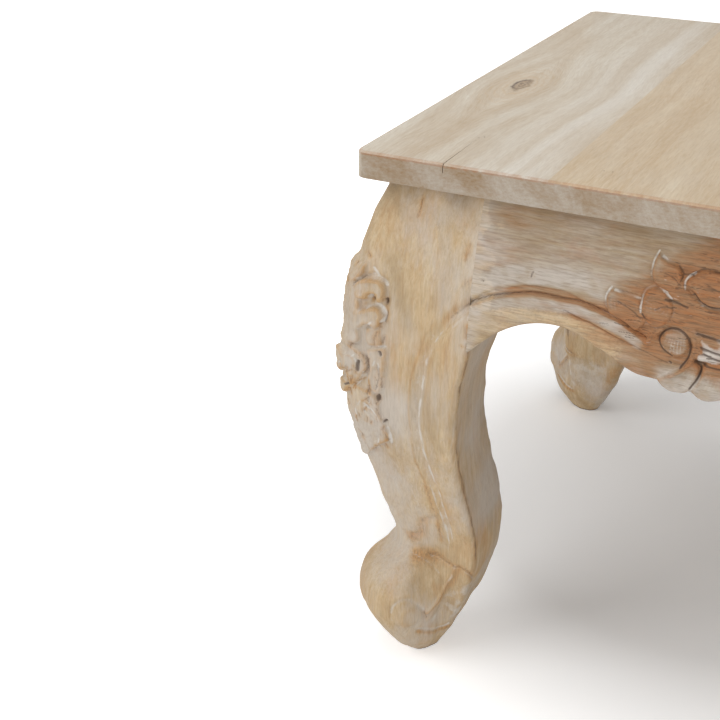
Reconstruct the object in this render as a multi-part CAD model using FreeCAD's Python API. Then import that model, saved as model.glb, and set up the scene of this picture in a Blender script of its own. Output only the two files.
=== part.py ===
import FreeCAD, Part
import math
import os

from FreeCAD import Vector

# Square coffee table on carved cabriole legs, in millimetres.
# The origin is on the floor under the middle of the table, +Z is up and the front faces -Y.

# Top
table_height = 450.0
top_side = 550.0
top_thickness = 20.0
outer_board_width = 145.0
inner_board_count = 2
top_arris_radius = 2.5
top_corner_radius = 9.0

# Dowels in the edge joints of the top
dowel_diameter = 8.0
dowel_length = 40.0
dowel_end_inset = 70.0
dowels_per_joint = 3
dowel_clearance = 0.1

# Legs: a rounded square blank that swings out at the knee and in at the ankle
leg_square = 88.0
apron_shoulder = 95.0
leg_groove_width = 6.0
leg_groove_depth = 2.0

# Scroll toe, along the diagonal of the leg
toe_height = 121.0
toe_tip_inset = 9.0
toe_depth = 37.0
toe_half_width = 34.0
toe_eye_radius = 13.5
toe_eye_height = 52.0
toe_eye_inset = 38.0
toe_eye_relief = 2.5

# Leaf on the outer corner of the knee
knee_leaf_top = 372.0
knee_leaf_bottom = 188.0
knee_leaf_half_width = 20.0
knee_leaf_relief = 3.5
knee_scroll_radius = 8.0
knee_scroll_relief = 6.0
knee_boss_radius = 7.0
knee_boss_relief = 7.5

# Aprons
apron_depth = 117.0
apron_back_inset = 44.0
apron_groove_width = 4.0
apron_groove_depth = 2.5
volute_radius = 14.0
volute_eye_radius = 10.0
shell_radius = 21.0
leaf_relief = 2.5
volute_relief = 3.5
eye_relief = 2.0

# Mortise and tenon joints between aprons and legs
tenon_length = 30.0
tenon_thickness = 12.0
tenon_height = 60.0
tenon_face_inset = 28.0
tenon_top_drop = 18.0
tenon_clearance = 0.2
peg_diameter = 8.0
peg_tip_inset = 22.0
peg_end_inset = 15.0
peg_rise = 14.0
peg_clearance = 0.1

# Cleats that hold the top to the aprons, and the batten across the boards
cleat_square = 25.0
cleat_end_gap = 10.0
batten_width = 45.0
batten_thickness = 22.0
batten_clearance = 0.5

# Wood screws
screw_length = 38.0
screw_diameter = 4.0
screw_head_diameter = 8.0
screw_head_height = 2.4
screw_clearance = 0.1
cleat_side_screw_inset = 60.0
cleat_top_screw_inset = 20.0

# All cuts run past the faces that they open by this much
overrun = 30.0

# Rows of the leg: height, outer face, inner face, outer corner radius, side corner radius.
# Heights are shares of the leg's height, the rest are shares of its square, measured in from the top's edge.
leg_section_shares = (
    (1.000, 0.195, 1.160, 0.22, 0.05),
    (0.920, 0.056, 1.160, 0.22, 0.05),
    (0.850, -0.027, 1.160, 0.22, 0.05),
    (0.770, -0.083, 1.140, 0.22, 0.05),
    (0.700, -0.105, 1.026, 0.22, 0.06),
    (0.630, -0.099, 0.922, 0.22, 0.07),
    (0.560, -0.080, 0.908, 0.22, 0.07),
    (0.490, -0.014, 0.931, 0.20, 0.07),
    (0.420, 0.084, 0.985, 0.16, 0.06),
    (0.350, 0.170, 1.047, 0.12, 0.06),
    (0.285, 0.257, 1.078, 0.10, 0.06),
    (0.210, 0.295, 1.068, 0.10, 0.07),
    (0.140, 0.318, 0.990, 0.12, 0.09),
    (0.070, 0.330, 0.848, 0.12, 0.11),
    (0.000, 0.370, 0.670, 0.12, 0.12),
)
leg_inner_corner_share = 0.13
# The inner faces are cut square above this share of the leg's height, to seat the aprons
leg_seat_share = 0.65

# Centre line of the groove beside the leg's inner edge: height and distance in from the top's edge
leg_groove_shares = (
    (0.830, 1.130),
    (0.795, 0.960),
    (0.750, 0.795),
    (0.700, 0.690),
    (0.620, 0.600),
    (0.558, 0.585),
    (0.477, 0.650),
    (0.384, 0.750),
    (0.274, 0.865),
)

# Rows of the toe: height, inset of its outer face and half width, as shares of the toe's sizes
toe_section_shares = (
    (1.000, 0.800, 0.30),
    (0.930, 0.790, 0.58),
    (0.830, 0.630, 0.79),
    (0.700, 0.205, 0.93),
    (0.560, 0.000, 1.00),
    (0.410, 0.010, 0.99),
    (0.270, 0.255, 0.93),
    (0.125, 0.635, 0.79),
    (0.000, 1.070, 0.47),
)
toe_corner_share = 0.75

# Half of the knee leaf: points where its lobes meet, as shares of its half width and its length from the top
knee_leaf_shares = (
    (0.00, 0.00),
    (0.35, 0.09),
    (0.90, 0.22),
    (0.75, 0.38),
    (0.65, 0.54),
    (0.70, 0.73),
    (0.72, 0.90),
    (0.00, 1.00),
)
knee_lobe_bulge_share = 0.28
# Scrolls on the knee leaf, sideways and down it, and bosses on its middle, down it
knee_scroll_shares = ((0.62, 0.150), (0.70, 0.245))
knee_boss_shares = (0.465, 0.590)

# The apron's lower edge, from the leg to the shell: distance from the middle as a share of its half span,
# and drop from its top edge as a share of its depth at the legs
apron_edge_shares = (
    (1.000, 1.000),
    (0.880, 0.830),
    (0.640, 0.700),
    (0.460, 0.790),
    (0.330, 0.880),
    (0.233, 0.893),
)
# The two lobes under the shell, each an arc from the last point through the middle point to the end point
apron_lobe_shares = (
    ((0.165, 0.937), (0.117, 0.917)),
    ((0.045, 0.943), (0.000, 0.925)),
)
apron_groove_shares = (
    (1.000, 0.655),
    (0.900, 0.566),
    (0.700, 0.476),
    (0.600, 0.470),
    (0.490, 0.535),
    (0.280, 0.680),
)
volute_share = (0.186, 0.650)
shell_share = (0.000, 0.690)
# Leaves round the shell: distance from the middle, drop, and radius as a share of the shell's
apron_leaf_shares = (
    (0.383, 0.513, 0.48),
    (0.311, 0.436, 0.42),
    (0.244, 0.290, 0.60),
    (0.094, 0.300, 0.66),
)

# Places that follow from the sizes above
leg_height = table_height - top_thickness
half_top = top_side / 2
half_span = half_top - apron_shoulder
cleat_length = 2 * (half_span - cleat_end_gap)
batten_reach = half_top - apron_back_inset - cleat_square - batten_clearance
second_peg_drop = Vector(0, 0, -2 * peg_rise)
quarter_turn = 90.0
diagonal_turn = -45.0
up = Vector(0, 0, 1)
inward = Vector(0, 1, 0)
middle = Vector(0, 0, 0)
leg_mirror = Vector(1, -1, 0)


def box(low, high):
    """Solid box between two corners."""
    size = high - low
    return Part.makeBox(size.x, size.y, size.z, low)


def turned(shape, turns):
    """Copy of a shape, turned about the table's middle by quarter turns."""
    copy = shape.copy()
    copy.rotate(middle, up, turns * quarter_turn)
    return copy


def moved(shape, offset):
    """Copy of a shape, moved by an offset."""
    copy = shape.copy()
    copy.translate(offset)
    return copy


def across_leg(shape):
    """The like shape on the other side of the front left leg's diagonal."""
    return shape.mirror(middle, leg_mirror)


def curve_edge(points):
    """Smooth curve through the points."""
    curve = Part.BSplineCurve()
    curve.interpolate(points)
    return curve.toShape()


def line_edge(start, end):
    """Straight edge."""
    return Part.LineSegment(start, end).toShape()


def arc_edge(start, through, end):
    """Arc through three points."""
    return Part.Arc(start, through, end).toShape()


def prism(edges, sweep):
    """Solid swept from a closed ring of edges."""
    ordered = Part.__sortEdges__(edges)
    return Part.Face(Part.Wire(ordered)).extrude(sweep)


def rounded_rectangle(low_x, low_y, high_x, high_y, radii, height):
    """Level wire of four sides and four rounded corners, with the radii anticlockwise from the low corner."""
    places = ((low_x, low_y, 1, 1), (high_x, low_y, -1, 1), (high_x, high_y, -1, -1), (low_x, high_y, 1, -1))
    arcs = []
    for index, (corner_x, corner_y, inward_x, inward_y) in enumerate(places):
        radius = radii[index]
        centre = Vector(corner_x + inward_x * radius, corner_y + inward_y * radius, height)
        points = []
        for step in range(3):
            angle = math.pi + index * math.pi / 2 + step * math.pi / 4
            points.append(centre + Vector(radius * math.cos(angle), radius * math.sin(angle), 0))
        arcs.append(points)
    edges = []
    for index, points in enumerate(arcs):
        edges.append(arc_edge(*points))
        edges.append(line_edge(points[2], arcs[(index + 1) % len(arcs)][0]))
    return Part.Wire(edges)


def ribbon_edges(points, width):
    """Ring round a band of even width, along a smooth line through points on an upright plane."""
    line = Part.BSplineCurve()
    line.interpolate(points)
    sides = ([], [])
    for point in points:
        tangent = line.tangent(line.parameter(point))[0]
        aside = tangent.cross(inward).normalize() * (width / 2)
        sides[0].append(point + aside)
        sides[1].append(point - aside)
    edges = [curve_edge(side) for side in sides]
    edges.append(line_edge(sides[0][0], sides[1][0]))
    edges.append(line_edge(sides[0][-1], sides[1][-1]))
    return edges


def leg_faces(height_share):
    """Outer and inner face of the leg at a share of its height, in from the top's edge."""
    for upper, lower in zip(leg_section_shares, leg_section_shares[1:]):
        if height_share >= lower[0]:
            part = (height_share - lower[0]) / (upper[0] - lower[0])
            outer = lower[1] + part * (upper[1] - lower[1])
            inner = lower[2] + part * (upper[2] - lower[2])
            return outer * leg_square, inner * leg_square
    return leg_section_shares[-1][1] * leg_square, leg_section_shares[-1][2] * leg_square


def leg_blank():
    """The swinging square of the leg, measured from the corner of the top."""
    wires = []
    for height_share, outer_share, inner_share, corner_share, side_share in leg_section_shares:
        outer = outer_share * leg_square
        inner = inner_share * leg_square
        side = side_share * leg_square
        radii = (corner_share * leg_square, side, leg_inner_corner_share * leg_square, side)
        wires.append(rounded_rectangle(outer, outer, inner, inner, radii, height_share * leg_height))
    return Part.makeLoft(wires, True, False)


def toe_scroll():
    """Rolled toe that swells out of the ankle along the leg's diagonal, with an eye on each end."""
    wires = []
    for height_share, inset_share, width_share in toe_section_shares:
        height = height_share * toe_height
        outer = toe_tip_inset + inset_share * toe_depth
        half_width = width_share * toe_half_width
        root = sum(leg_faces(height / leg_height)) / math.sqrt(2)
        corner = toe_corner_share * min(half_width, (root - outer) / 2)
        small = corner / 2
        radii = (corner, corner, small, small)
        wires.append(rounded_rectangle(-half_width, outer, half_width, root, radii, height))
    toe = Part.makeLoft(wires, True, False)
    eye_length = 2 * (toe_half_width + toe_eye_relief)
    eye_start = Vector(-eye_length / 2, toe_eye_inset, toe_eye_height)
    toe = toe.fuse(Part.makeCylinder(toe_eye_radius, eye_length, eye_start, Vector(1, 0, 0)))
    toe.rotate(middle, up, diagonal_turn)
    return toe


def lobed_edges(points, bulge_share):
    """Ring of arcs from point to point, each bulging out by a share of its chord."""
    edges = []
    for start, end in zip(points, points[1:] + points[:1]):
        chord = end - start
        outward = Vector(-chord.z, 0, chord.x) * bulge_share
        edges.append(arc_edge(start, (start + end) / 2 + outward, end))
    return edges


def leaf_post(aside, down_share, radius):
    """Round post through the knee leaf, to be trimmed to a raised scroll or boss."""
    height = knee_leaf_top - down_share * (knee_leaf_top - knee_leaf_bottom)
    post = Part.makeCylinder(radius, leg_square, Vector(aside, -leg_square / 2, height), inward)
    post.rotate(middle, up, diagonal_turn)
    return post


def knee_leaf(blank):
    """Raised leaf, scrolls and bosses that follow the outer corner of the knee."""
    length = knee_leaf_top - knee_leaf_bottom
    half = []
    for side_share, down_share in knee_leaf_shares:
        half.append(Vector(side_share * knee_leaf_half_width, 0, knee_leaf_top - down_share * length))
    ring = half + [Vector(-point.x, 0, point.z) for point in reversed(half[1:-1])]
    outline = prism(lobed_edges(ring, knee_lobe_bulge_share), Vector(0, leg_square, 0))
    outline.translate(Vector(0, -leg_square / 2, 0))
    outline.rotate(middle, up, diagonal_turn)
    outward = Vector(-1, -1, 0).normalize()
    pieces = [moved(blank, outward * knee_leaf_relief).common(outline)]
    raised = moved(blank, outward * knee_scroll_relief)
    for side_share, down_share in knee_scroll_shares:
        for side in (-1, 1):
            aside = side * side_share * knee_leaf_half_width
            pieces.append(raised.common(leaf_post(aside, down_share, knee_scroll_radius)))
    proud = moved(blank, outward * knee_boss_relief)
    for down_share in knee_boss_shares:
        pieces.append(proud.common(leaf_post(0, down_share, knee_boss_radius)))
    return pieces


def leg_grooves(blank):
    """Material to cut away for the groove on the two outer faces of the leg."""
    points = []
    for height_share, inset_share in leg_groove_shares:
        points.append(Vector(inset_share * leg_square, -overrun, height_share * leg_height))
    sweep = Vector(0, leg_square / 2 + overrun, 0)
    band = prism(ribbon_edges(points, leg_groove_width), sweep)
    front = band.cut(moved(blank, Vector(0, leg_groove_depth, 0)))
    return [front, across_leg(front)]


def tenon_box(growth):
    """Tenon on the left end of the front apron, grown by a clearance where it is to be a mortise."""
    high_z = leg_height - tenon_top_drop
    front = tenon_face_inset - half_top
    low = Vector(-half_span - tenon_length - growth, front - growth, high_z - tenon_height - growth)
    high = Vector(-half_span, front + tenon_thickness + growth, high_z + growth)
    return box(low, high)


def tenon_peg(radius):
    """Peg through the tenon at the left end of the front apron, driven from the leg's inner face."""
    aside = apron_shoulder - peg_end_inset - half_top
    height = leg_height - tenon_top_drop - tenon_height / 2 + peg_rise
    start = Vector(aside, apron_shoulder - half_top, height)
    return Part.makeCylinder(radius, apron_shoulder - peg_tip_inset, start, -inward)


def leg():
    """Front left leg with its toe, knee leaf, grooves and mortises."""
    blank = leg_blank()
    solid = blank.fuse([toe_scroll()] + knee_leaf(blank))
    solid = solid.cut(leg_grooves(blank))
    seat_low = leg_seat_share * leg_height
    reach = leg_square + overrun
    right = box(Vector(apron_shoulder, -reach, seat_low), Vector(2 * reach, 2 * reach, leg_height + overrun))
    solid = solid.cut([right, across_leg(right)])
    solid.translate(Vector(-half_top, -half_top, 0))
    mortise = tenon_box(tenon_clearance)
    hole = tenon_peg(peg_diameter / 2 + peg_clearance)
    second_hole = across_leg(moved(hole, second_peg_drop))
    return solid.cut([mortise, across_leg(mortise), hole, second_hole])


def apron_place(share, side):
    """Point on the front apron's plane from a distance and a drop share, to the left or right."""
    return Vector(side * share[0] * half_span, 0, leg_height - share[1] * apron_depth)


def apron_profile():
    """Length of board whose face follows the outer line of the legs."""
    face = []
    for height_share, outer_share, *_ in leg_section_shares:
        if height_share * leg_height > leg_height - apron_depth - overrun:
            face.append(Vector(-half_span, outer_share * leg_square - half_top, height_share * leg_height))
    top_back = Vector(-half_span, apron_back_inset - half_top, leg_height)
    low_back = Vector(-half_span, apron_back_inset - half_top, face[-1].z)
    edges = [curve_edge(face), line_edge(face[-1], low_back), line_edge(low_back, top_back)]
    edges.append(line_edge(top_back, face[0]))
    return prism(edges, Vector(2 * half_span, 0, 0))


def facing(shape_edges):
    """Solid swept front to back through the apron from a ring drawn on its middle plane."""
    solid = prism(shape_edges, Vector(0, half_top + overrun, 0))
    solid.translate(Vector(0, -half_top - overrun, 0))
    return solid


def apron_outline():
    """Front outline of the apron: arches beside the legs and lobes under the shell."""
    edges = []
    for side in (-1, 1):
        arch = [apron_place(share, side) for share in apron_edge_shares]
        edges.append(curve_edge(arch))
        last = arch[-1]
        for through_share, end_share in apron_lobe_shares:
            end = apron_place(end_share, side)
            edges.append(arc_edge(last, apron_place(through_share, side), end))
            last = end
        edges.append(line_edge(arch[0], Vector(arch[0].x, 0, leg_height)))
    edges.append(line_edge(Vector(-half_span, 0, leg_height), Vector(half_span, 0, leg_height)))
    return facing(edges)


def apron_disc(share, side, radius):
    """Round post through the apron, to be trimmed to a raised disc on its face."""
    start = apron_place(share, side)
    start.y = -half_top - overrun
    return Part.makeCylinder(radius, half_top, start, inward)


def apron():
    """Front apron with its grooves, shell, volutes, leaves and tenons."""
    profile = apron_profile()
    outline = apron_outline()
    solid = profile.common(outline)
    for side in (-1, 1):
        points = [apron_place(share, side) for share in apron_groove_shares]
        band = facing(ribbon_edges(points, apron_groove_width))
        solid = solid.cut(band.cut(moved(profile, Vector(0, apron_groove_depth, 0))))
    raised = []
    relief = moved(profile, Vector(0, -leaf_relief, 0))
    higher = moved(profile, Vector(0, -volute_relief, 0))
    highest = moved(profile, Vector(0, -volute_relief - eye_relief, 0))
    raised.append(apron_disc(shell_share, 1, shell_radius).common(relief))
    for side in (-1, 1):
        for distance_share, drop_share, radius_share in apron_leaf_shares:
            leaf = apron_disc((distance_share, drop_share), side, radius_share * shell_radius)
            raised.append(leaf.common(relief))
        raised.append(apron_disc(volute_share, side, volute_radius).common(higher))
        raised.append(apron_disc(volute_share, side, volute_eye_radius).common(highest))
    ornament = raised[0].fuse(raised[1:])
    solid = solid.fuse(ornament.common(outline))
    peg_hole = tenon_peg(peg_diameter / 2 + peg_clearance)
    left = tenon_box(0).cut(peg_hole)
    right = tenon_box(0).cut(moved(peg_hole, second_peg_drop)).mirror(middle, Vector(1, 0, 0))
    solid = solid.fuse([left, right])
    cleat_holes = [screw_hole(place) for place in cleat_side_screws()]
    return solid.cut(cleat_holes).removeSplitter()


def screw(place):
    """Countersunk wood screw with its head at a place and its shank along a direction."""
    start, direction = place
    head = Part.makeCone(screw_head_diameter / 2, screw_diameter / 2, screw_head_height, start, direction)
    shank_start = start + direction * screw_head_height
    shank = Part.makeCylinder(screw_diameter / 2, screw_length - screw_head_height, shank_start, direction)
    return head.fuse(shank)


def screw_hole(place):
    """Countersunk hole for a screw."""
    start, direction = place
    head_radius = screw_head_diameter / 2 + screw_clearance
    shank_radius = screw_diameter / 2 + screw_clearance
    head = Part.makeCone(head_radius, shank_radius, screw_head_height, start, direction)
    shank = Part.makeCylinder(shank_radius, screw_length + screw_clearance, start, direction)
    return head.fuse(shank)


def cleat_side_screws():
    """Screws through the front cleat into the front apron."""
    height = leg_height - cleat_square / 2
    face = apron_back_inset + cleat_square - half_top
    reach = cleat_length / 2 - cleat_side_screw_inset
    return [(Vector(side * reach, face, height), -inward) for side in (-1, 1)]


def cleat_top_screws():
    """Screws up through the front cleat into the top."""
    across = apron_back_inset + cleat_square / 2 - half_top
    reach = cleat_length / 2 - cleat_top_screw_inset
    return [(Vector(side * reach, across, leg_height - cleat_square), up) for side in (-1, 1)]


def batten_screws():
    """Screws up through the batten into each board, at the middle of what the batten covers of it."""
    height = leg_height - batten_thickness
    places = []
    for low, high in board_spans():
        across = (max(low, -batten_reach) + min(high, batten_reach)) / 2
        places.append((Vector(across, 0, height), up))
    return places


def cleat():
    """Front cleat, against the back of the front apron."""
    back = apron_back_inset - half_top
    low = Vector(-cleat_length / 2, back, leg_height - cleat_square)
    solid = box(low, Vector(cleat_length / 2, back + cleat_square, leg_height))
    return solid.cut([screw_hole(place) for place in cleat_side_screws() + cleat_top_screws()])


def batten():
    """Batten across the boards, between the side cleats."""
    low = Vector(-batten_reach, -batten_width / 2, leg_height - batten_thickness)
    solid = box(low, Vector(batten_reach, batten_width / 2, leg_height))
    return solid.cut([screw_hole(place) for place in batten_screws()])


def board_spans():
    """Left and right side of each board of the top."""
    inner_width = (top_side - 2 * outer_board_width) / inner_board_count
    widths = [outer_board_width] + [inner_width] * inner_board_count + [outer_board_width]
    spans = []
    low = -half_top
    for width in widths:
        spans.append((low, low + width))
        low += width
    return spans


def joint_dowels(radius):
    """Dowels across the edge joints of the top."""
    dowels = []
    height = table_height - top_thickness / 2
    step = (top_side - 2 * dowel_end_inset) / (dowels_per_joint - 1)
    for low, high in board_spans()[:-1]:
        for index in range(dowels_per_joint):
            start = Vector(high - dowel_length / 2, dowel_end_inset + index * step - half_top, height)
            dowels.append(Part.makeCylinder(radius, dowel_length, start, Vector(1, 0, 0)))
    return dowels


def top_fixings():
    """Every screw that runs up into the top."""
    places = batten_screws()
    for turns in range(4):
        for start, direction in cleat_top_screws():
            turn = FreeCAD.Rotation(up, turns * quarter_turn)
            places.append((turn.multVec(start), direction))
    return places


def top_blank():
    """The whole top with its eased edges and corners."""
    blank = box(Vector(-half_top, -half_top, leg_height), Vector(half_top, half_top, table_height))
    halfway = table_height - top_thickness / 2
    corners = [edge for edge in blank.Edges if edge.BoundBox.ZMin < halfway < edge.BoundBox.ZMax]
    blank = blank.makeFillet(top_corner_radius, corners)
    rim = [edge for edge in blank.Edges if edge.BoundBox.ZMin > halfway]
    return blank.makeFillet(top_arris_radius, rim)


def export(name, shape):
    """One STEP file for each named piece."""
    shape.exportStep("parts/" + name + ".step")


def main():
    os.makedirs("parts", exist_ok=True)
    blank = top_blank()
    holes = joint_dowels(dowel_diameter / 2 + dowel_clearance)
    holes += [screw_hole(place) for place in top_fixings()]
    for index, (low, high) in enumerate(board_spans()):
        span = box(Vector(low, -top_side, 0), Vector(high, top_side, table_height + overrun))
        export("top_board_" + str(index + 1), blank.common(span).cut(holes))
    export("top_dowels", Part.makeCompound(joint_dowels(dowel_diameter / 2)))

    corner_names = ("front_left", "front_right", "back_right", "back_left")
    side_names = ("front", "right", "back", "left")
    one_leg = leg()
    one_apron = apron()
    one_cleat = cleat()
    peg = tenon_peg(peg_diameter / 2)
    pegs = [peg, across_leg(moved(peg, second_peg_drop))]
    side_screws = [screw(place) for place in cleat_side_screws()]
    all_pegs = []
    all_side_screws = []
    for turns in range(4):
        export("leg_" + corner_names[turns], turned(one_leg, turns))
        export("apron_" + side_names[turns], turned(one_apron, turns))
        export("cleat_" + side_names[turns], turned(one_cleat, turns))
        all_pegs += [turned(shape, turns) for shape in pegs]
        all_side_screws += [turned(shape, turns) for shape in side_screws]
    export("tenon_pegs", Part.makeCompound(all_pegs))
    export("top_batten", batten())
    export("cleat_screws", Part.makeCompound(all_side_screws))
    export("top_screws", Part.makeCompound([screw(place) for place in top_fixings()]))


main()
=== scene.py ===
import math
from collections import namedtuple

import bmesh
import bpy
import numpy as np
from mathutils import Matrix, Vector


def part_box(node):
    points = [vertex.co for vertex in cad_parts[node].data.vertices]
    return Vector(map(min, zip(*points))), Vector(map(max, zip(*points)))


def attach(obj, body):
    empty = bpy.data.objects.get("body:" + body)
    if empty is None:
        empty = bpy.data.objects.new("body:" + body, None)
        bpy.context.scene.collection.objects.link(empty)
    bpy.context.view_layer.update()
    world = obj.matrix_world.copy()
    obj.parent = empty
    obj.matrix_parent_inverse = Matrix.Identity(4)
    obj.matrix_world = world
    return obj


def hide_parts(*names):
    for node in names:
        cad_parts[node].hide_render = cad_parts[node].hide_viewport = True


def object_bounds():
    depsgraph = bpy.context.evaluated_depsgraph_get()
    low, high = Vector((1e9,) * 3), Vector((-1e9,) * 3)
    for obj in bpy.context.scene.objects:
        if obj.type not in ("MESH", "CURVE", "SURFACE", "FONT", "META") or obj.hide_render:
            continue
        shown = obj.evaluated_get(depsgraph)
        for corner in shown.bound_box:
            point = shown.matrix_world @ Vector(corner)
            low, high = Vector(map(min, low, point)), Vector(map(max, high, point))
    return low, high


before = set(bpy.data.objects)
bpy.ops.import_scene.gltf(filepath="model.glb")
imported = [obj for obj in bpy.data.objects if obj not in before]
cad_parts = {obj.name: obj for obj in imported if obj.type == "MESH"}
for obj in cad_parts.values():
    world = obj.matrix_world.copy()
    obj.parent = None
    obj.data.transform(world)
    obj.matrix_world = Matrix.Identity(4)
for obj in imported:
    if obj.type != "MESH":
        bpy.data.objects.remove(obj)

bl_info = {
    "name": "Carved Coffee Table",
    "version": (1, 0, 0),
    "blender": (4, 5, 0),
    "location": "View3D > Sidebar > Coffee Table",
    "description": "Square coffee table on carved cabriole legs, in pale washed wood",
    "category": "Object",
}

# Places read from the frame, in metres
cad_box = [list(corner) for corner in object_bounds()]
top_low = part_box("top_board_1")[0]
top_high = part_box("top_board_4")[1]
half_top = top_high.x
leg_height = top_low.z
first_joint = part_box("top_board_1")[1].x
table_height = top_high.z
apron_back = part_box("apron_front")[1].y
box_margin = 0.0001

# The carving is drawn in millimetres on a leg of this height, and grows with the leg
drawn_leg_height_mm = 430
mm = leg_height / drawn_leg_height_mm

# A stroke: half width and depth as shares of its tool's, tints, distance from the drawn line, and tool
Stroke = namedtuple(
    "Stroke", "width_share depth_share dark pale raw moved_mm tool", defaults=(0, 0, 0, (0, 0), "chisel"))
# Half widths of a stroke's tints as shares of its own, and its reach in half widths
dark_width_share = 0.8
pale_width_share = 0.9
raw_width_share = 1.6
stroke_reach_widths = 4
# Uneven waves: spread of their lengths, and lengths, heights and weights
wave_spread_shares = (0.6, 1.6)
slow_wave = 0.03
leg_warp = 0.0008
apron_warp = 0.0007
leg_mark_waves = ((0.016, 1), (0.045, 1.3))
apron_mark_waves = ((0.018, 1), (0.06, 0.7))
broken_wave = 0.014
broken_middle = 0.55
broken_spread = 0.6
# Hollows lie under the carving's own average
hollow_passes = 5
hollow_full = 0.0006
carved_sharp_angle = math.radians(48)

# Leg: rows of height, outer and inner face, outer and side corner radius, and lean of the inner faces
leg_square = 0.088
apron_shoulder = 0.095
half_span = half_top - apron_shoulder
leg_section_shares = (
    (0, 0.37, 0.67, 0.12, 0.12, 0),
    (0.07, 0.33, 0.848, 0.12, 0.11, 0),
    (0.14, 0.318, 0.99, 0.12, 0.09, 0),
    (0.21, 0.295, 1.068, 0.1, 0.07, 0),
    (0.285, 0.257, 1.078, 0.1, 0.06, 0.01),
    (0.35, 0.17, 1.047, 0.12, 0.06, 0.02),
    (0.42, 0.084, 0.985, 0.16, 0.06, 0.04),
    (0.49, -0.014, 0.931, 0.2, 0.07, 0.06),
    (0.56, -0.08, 0.908, 0.22, 0.07, 0.09),
    (0.63, -0.099, 0.922, 0.22, 0.07, 0.09),
    (0.7, -0.105, 1.026, 0.22, 0.06, 0.04),
    (0.77, -0.083, 1.14, 0.22, 0.05, 0),
    (0.85, -0.027, 1.16, 0.22, 0.05, 0),
    (0.92, 0.056, 1.16, 0.22, 0.05, 0),
    (1, 0.195, 1.16, 0.22, 0.05, 0),
)
leg_inner_corner_share = 0.13
leg_seat_share = 0.65
leg_reach = 0.13
# Rows of the leg's mesh: bounds of each zone of heights and its number of rows
leg_row_zones_mm = ((0, 148, 128), (148, 190, 16), (190, 376, 206), (376, 430, 20))
leg_outer_columns = 110
leg_inner_columns = 20
leg_crowding_share = 0.4
leg_inner_crowding_share = 0.7
leg_halvings = 30
# The carving fades out at the leg's ends and at the apron's seat
leg_end_fade = 0.012
seat_fade = 0.006
# How far the surface turns to the corner, the faces, the toe's ends and the inner side
corner_side_shares = (0.3, 0.7)
facing_shares = (0.35, 0.75)
end_side_shares = (0.75, 1.05)
inner_face_shares = (0.4, 0.8)

# Scroll toe
toe_height = 0.121
toe_tip_inset = 0.009
toe_depth = 0.037
toe_half_width = 0.034
toe_blend = 0.003
# Rows of height, inset along the diagonal and half width
toe_section_shares = (
    (0, 1.07, 0.47),
    (0.125, 0.635, 0.79),
    (0.27, 0.255, 0.93),
    (0.41, 0.01, 0.99),
    (0.56, 0, 1),
    (0.7, 0.205, 0.93),
    (0.83, 0.63, 0.79),
    (0.93, 0.79, 0.58),
    (1, 0.8, 0.3),
)
toe_corner_share = 0.75

# Carved lines on the toe's end, along the diagonal and up
toe_eye_mm = (36.5, 52.5)
toe_eye_edge_mm = (13.5, 6.75)
toe_ring_mm = ((22, 50), (21, 58.5), (24, 67), (30, 71), (37, 69.5), (44, 64), (49.5, 56.5))
toe_notch_mm = ((49.5, 54), (51.5, 47.5))
toe_ridge_mm = ((74, 99), (71, 81), (64.5, 68.5), (58.5, 59.5), (51.5, 52))
toe_crease_mm = ((57.5, 105.5), (64, 102.5), (71, 98.5), (78.5, 97), (93, 85.5))
toe_low_mm = ((44.5, 36.5), (54.5, 32.5), (67.5, 28), (74.5, 31.5))
toe_crown_mm = ((33, 108), (45.5, 105), (54.5, 98.5), (64, 88.5))
toe_shade_mm = ((41.5, 105), (51.5, 104.5), (61.5, 103.5))
ankle_mm = ((39, 117.5), (44, 118), (49, 120), (51.5, 130), (52.5, 140.5), (56.5, 144))

toe_strokes = (
    (Stroke(1.875, 1, pale=0.38), toe_ring_mm),
    (Stroke(1.5, 1.2, dark=0.4, raw=0.9), toe_notch_mm),
    (Stroke(1.5, -1.8, pale=0.4), toe_ridge_mm),
    (Stroke(1.5, 0.8, dark=0.2, raw=0.9, moved_mm=(2, -0.8)), toe_ridge_mm),
    (Stroke(2.75, 1.8, dark=0.3, raw=0.7), toe_crease_mm),
    (Stroke(1.125, 0, pale=0.5, moved_mm=(0, -1.8)), toe_crease_mm),
    (Stroke(1.75, 1.6, pale=0.6), toe_low_mm),
    (Stroke(1.5, 0, raw=0.95, moved_mm=(0, -2.6)), toe_low_mm),
    (Stroke(1.375, 0.9, pale=0.4), toe_crown_mm),
    (Stroke(5, 0.6, dark=0.22, raw=0.9), toe_shade_mm),
    (Stroke(3.25, 1.8, dark=0.18, raw=1), ankle_mm),
)
# Hollow behind the toe's ridge: its corner, the way it runs and its bounds
toe_hollow_start_mm = (58.5, 59.5)
toe_hollow_direction = (0.84, -0.5)
toe_hollow_zone_mm = (("behind", 0, 12), ("up", 92, 72), ("up", 30, 42))
toe_hollow_pale_share = 0.4
toe_zone_mm = (150, 146)

# Lobes: points of an outline, their dished middle by rim widths, and gouge lines along the edge
lobe_outline_points = 60
lobe_dish_share = 0.3
lobe_dish_rims = (1, 4)
lobe_line_depth = 0.00018
lobe_line_step = 0.0026
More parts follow.
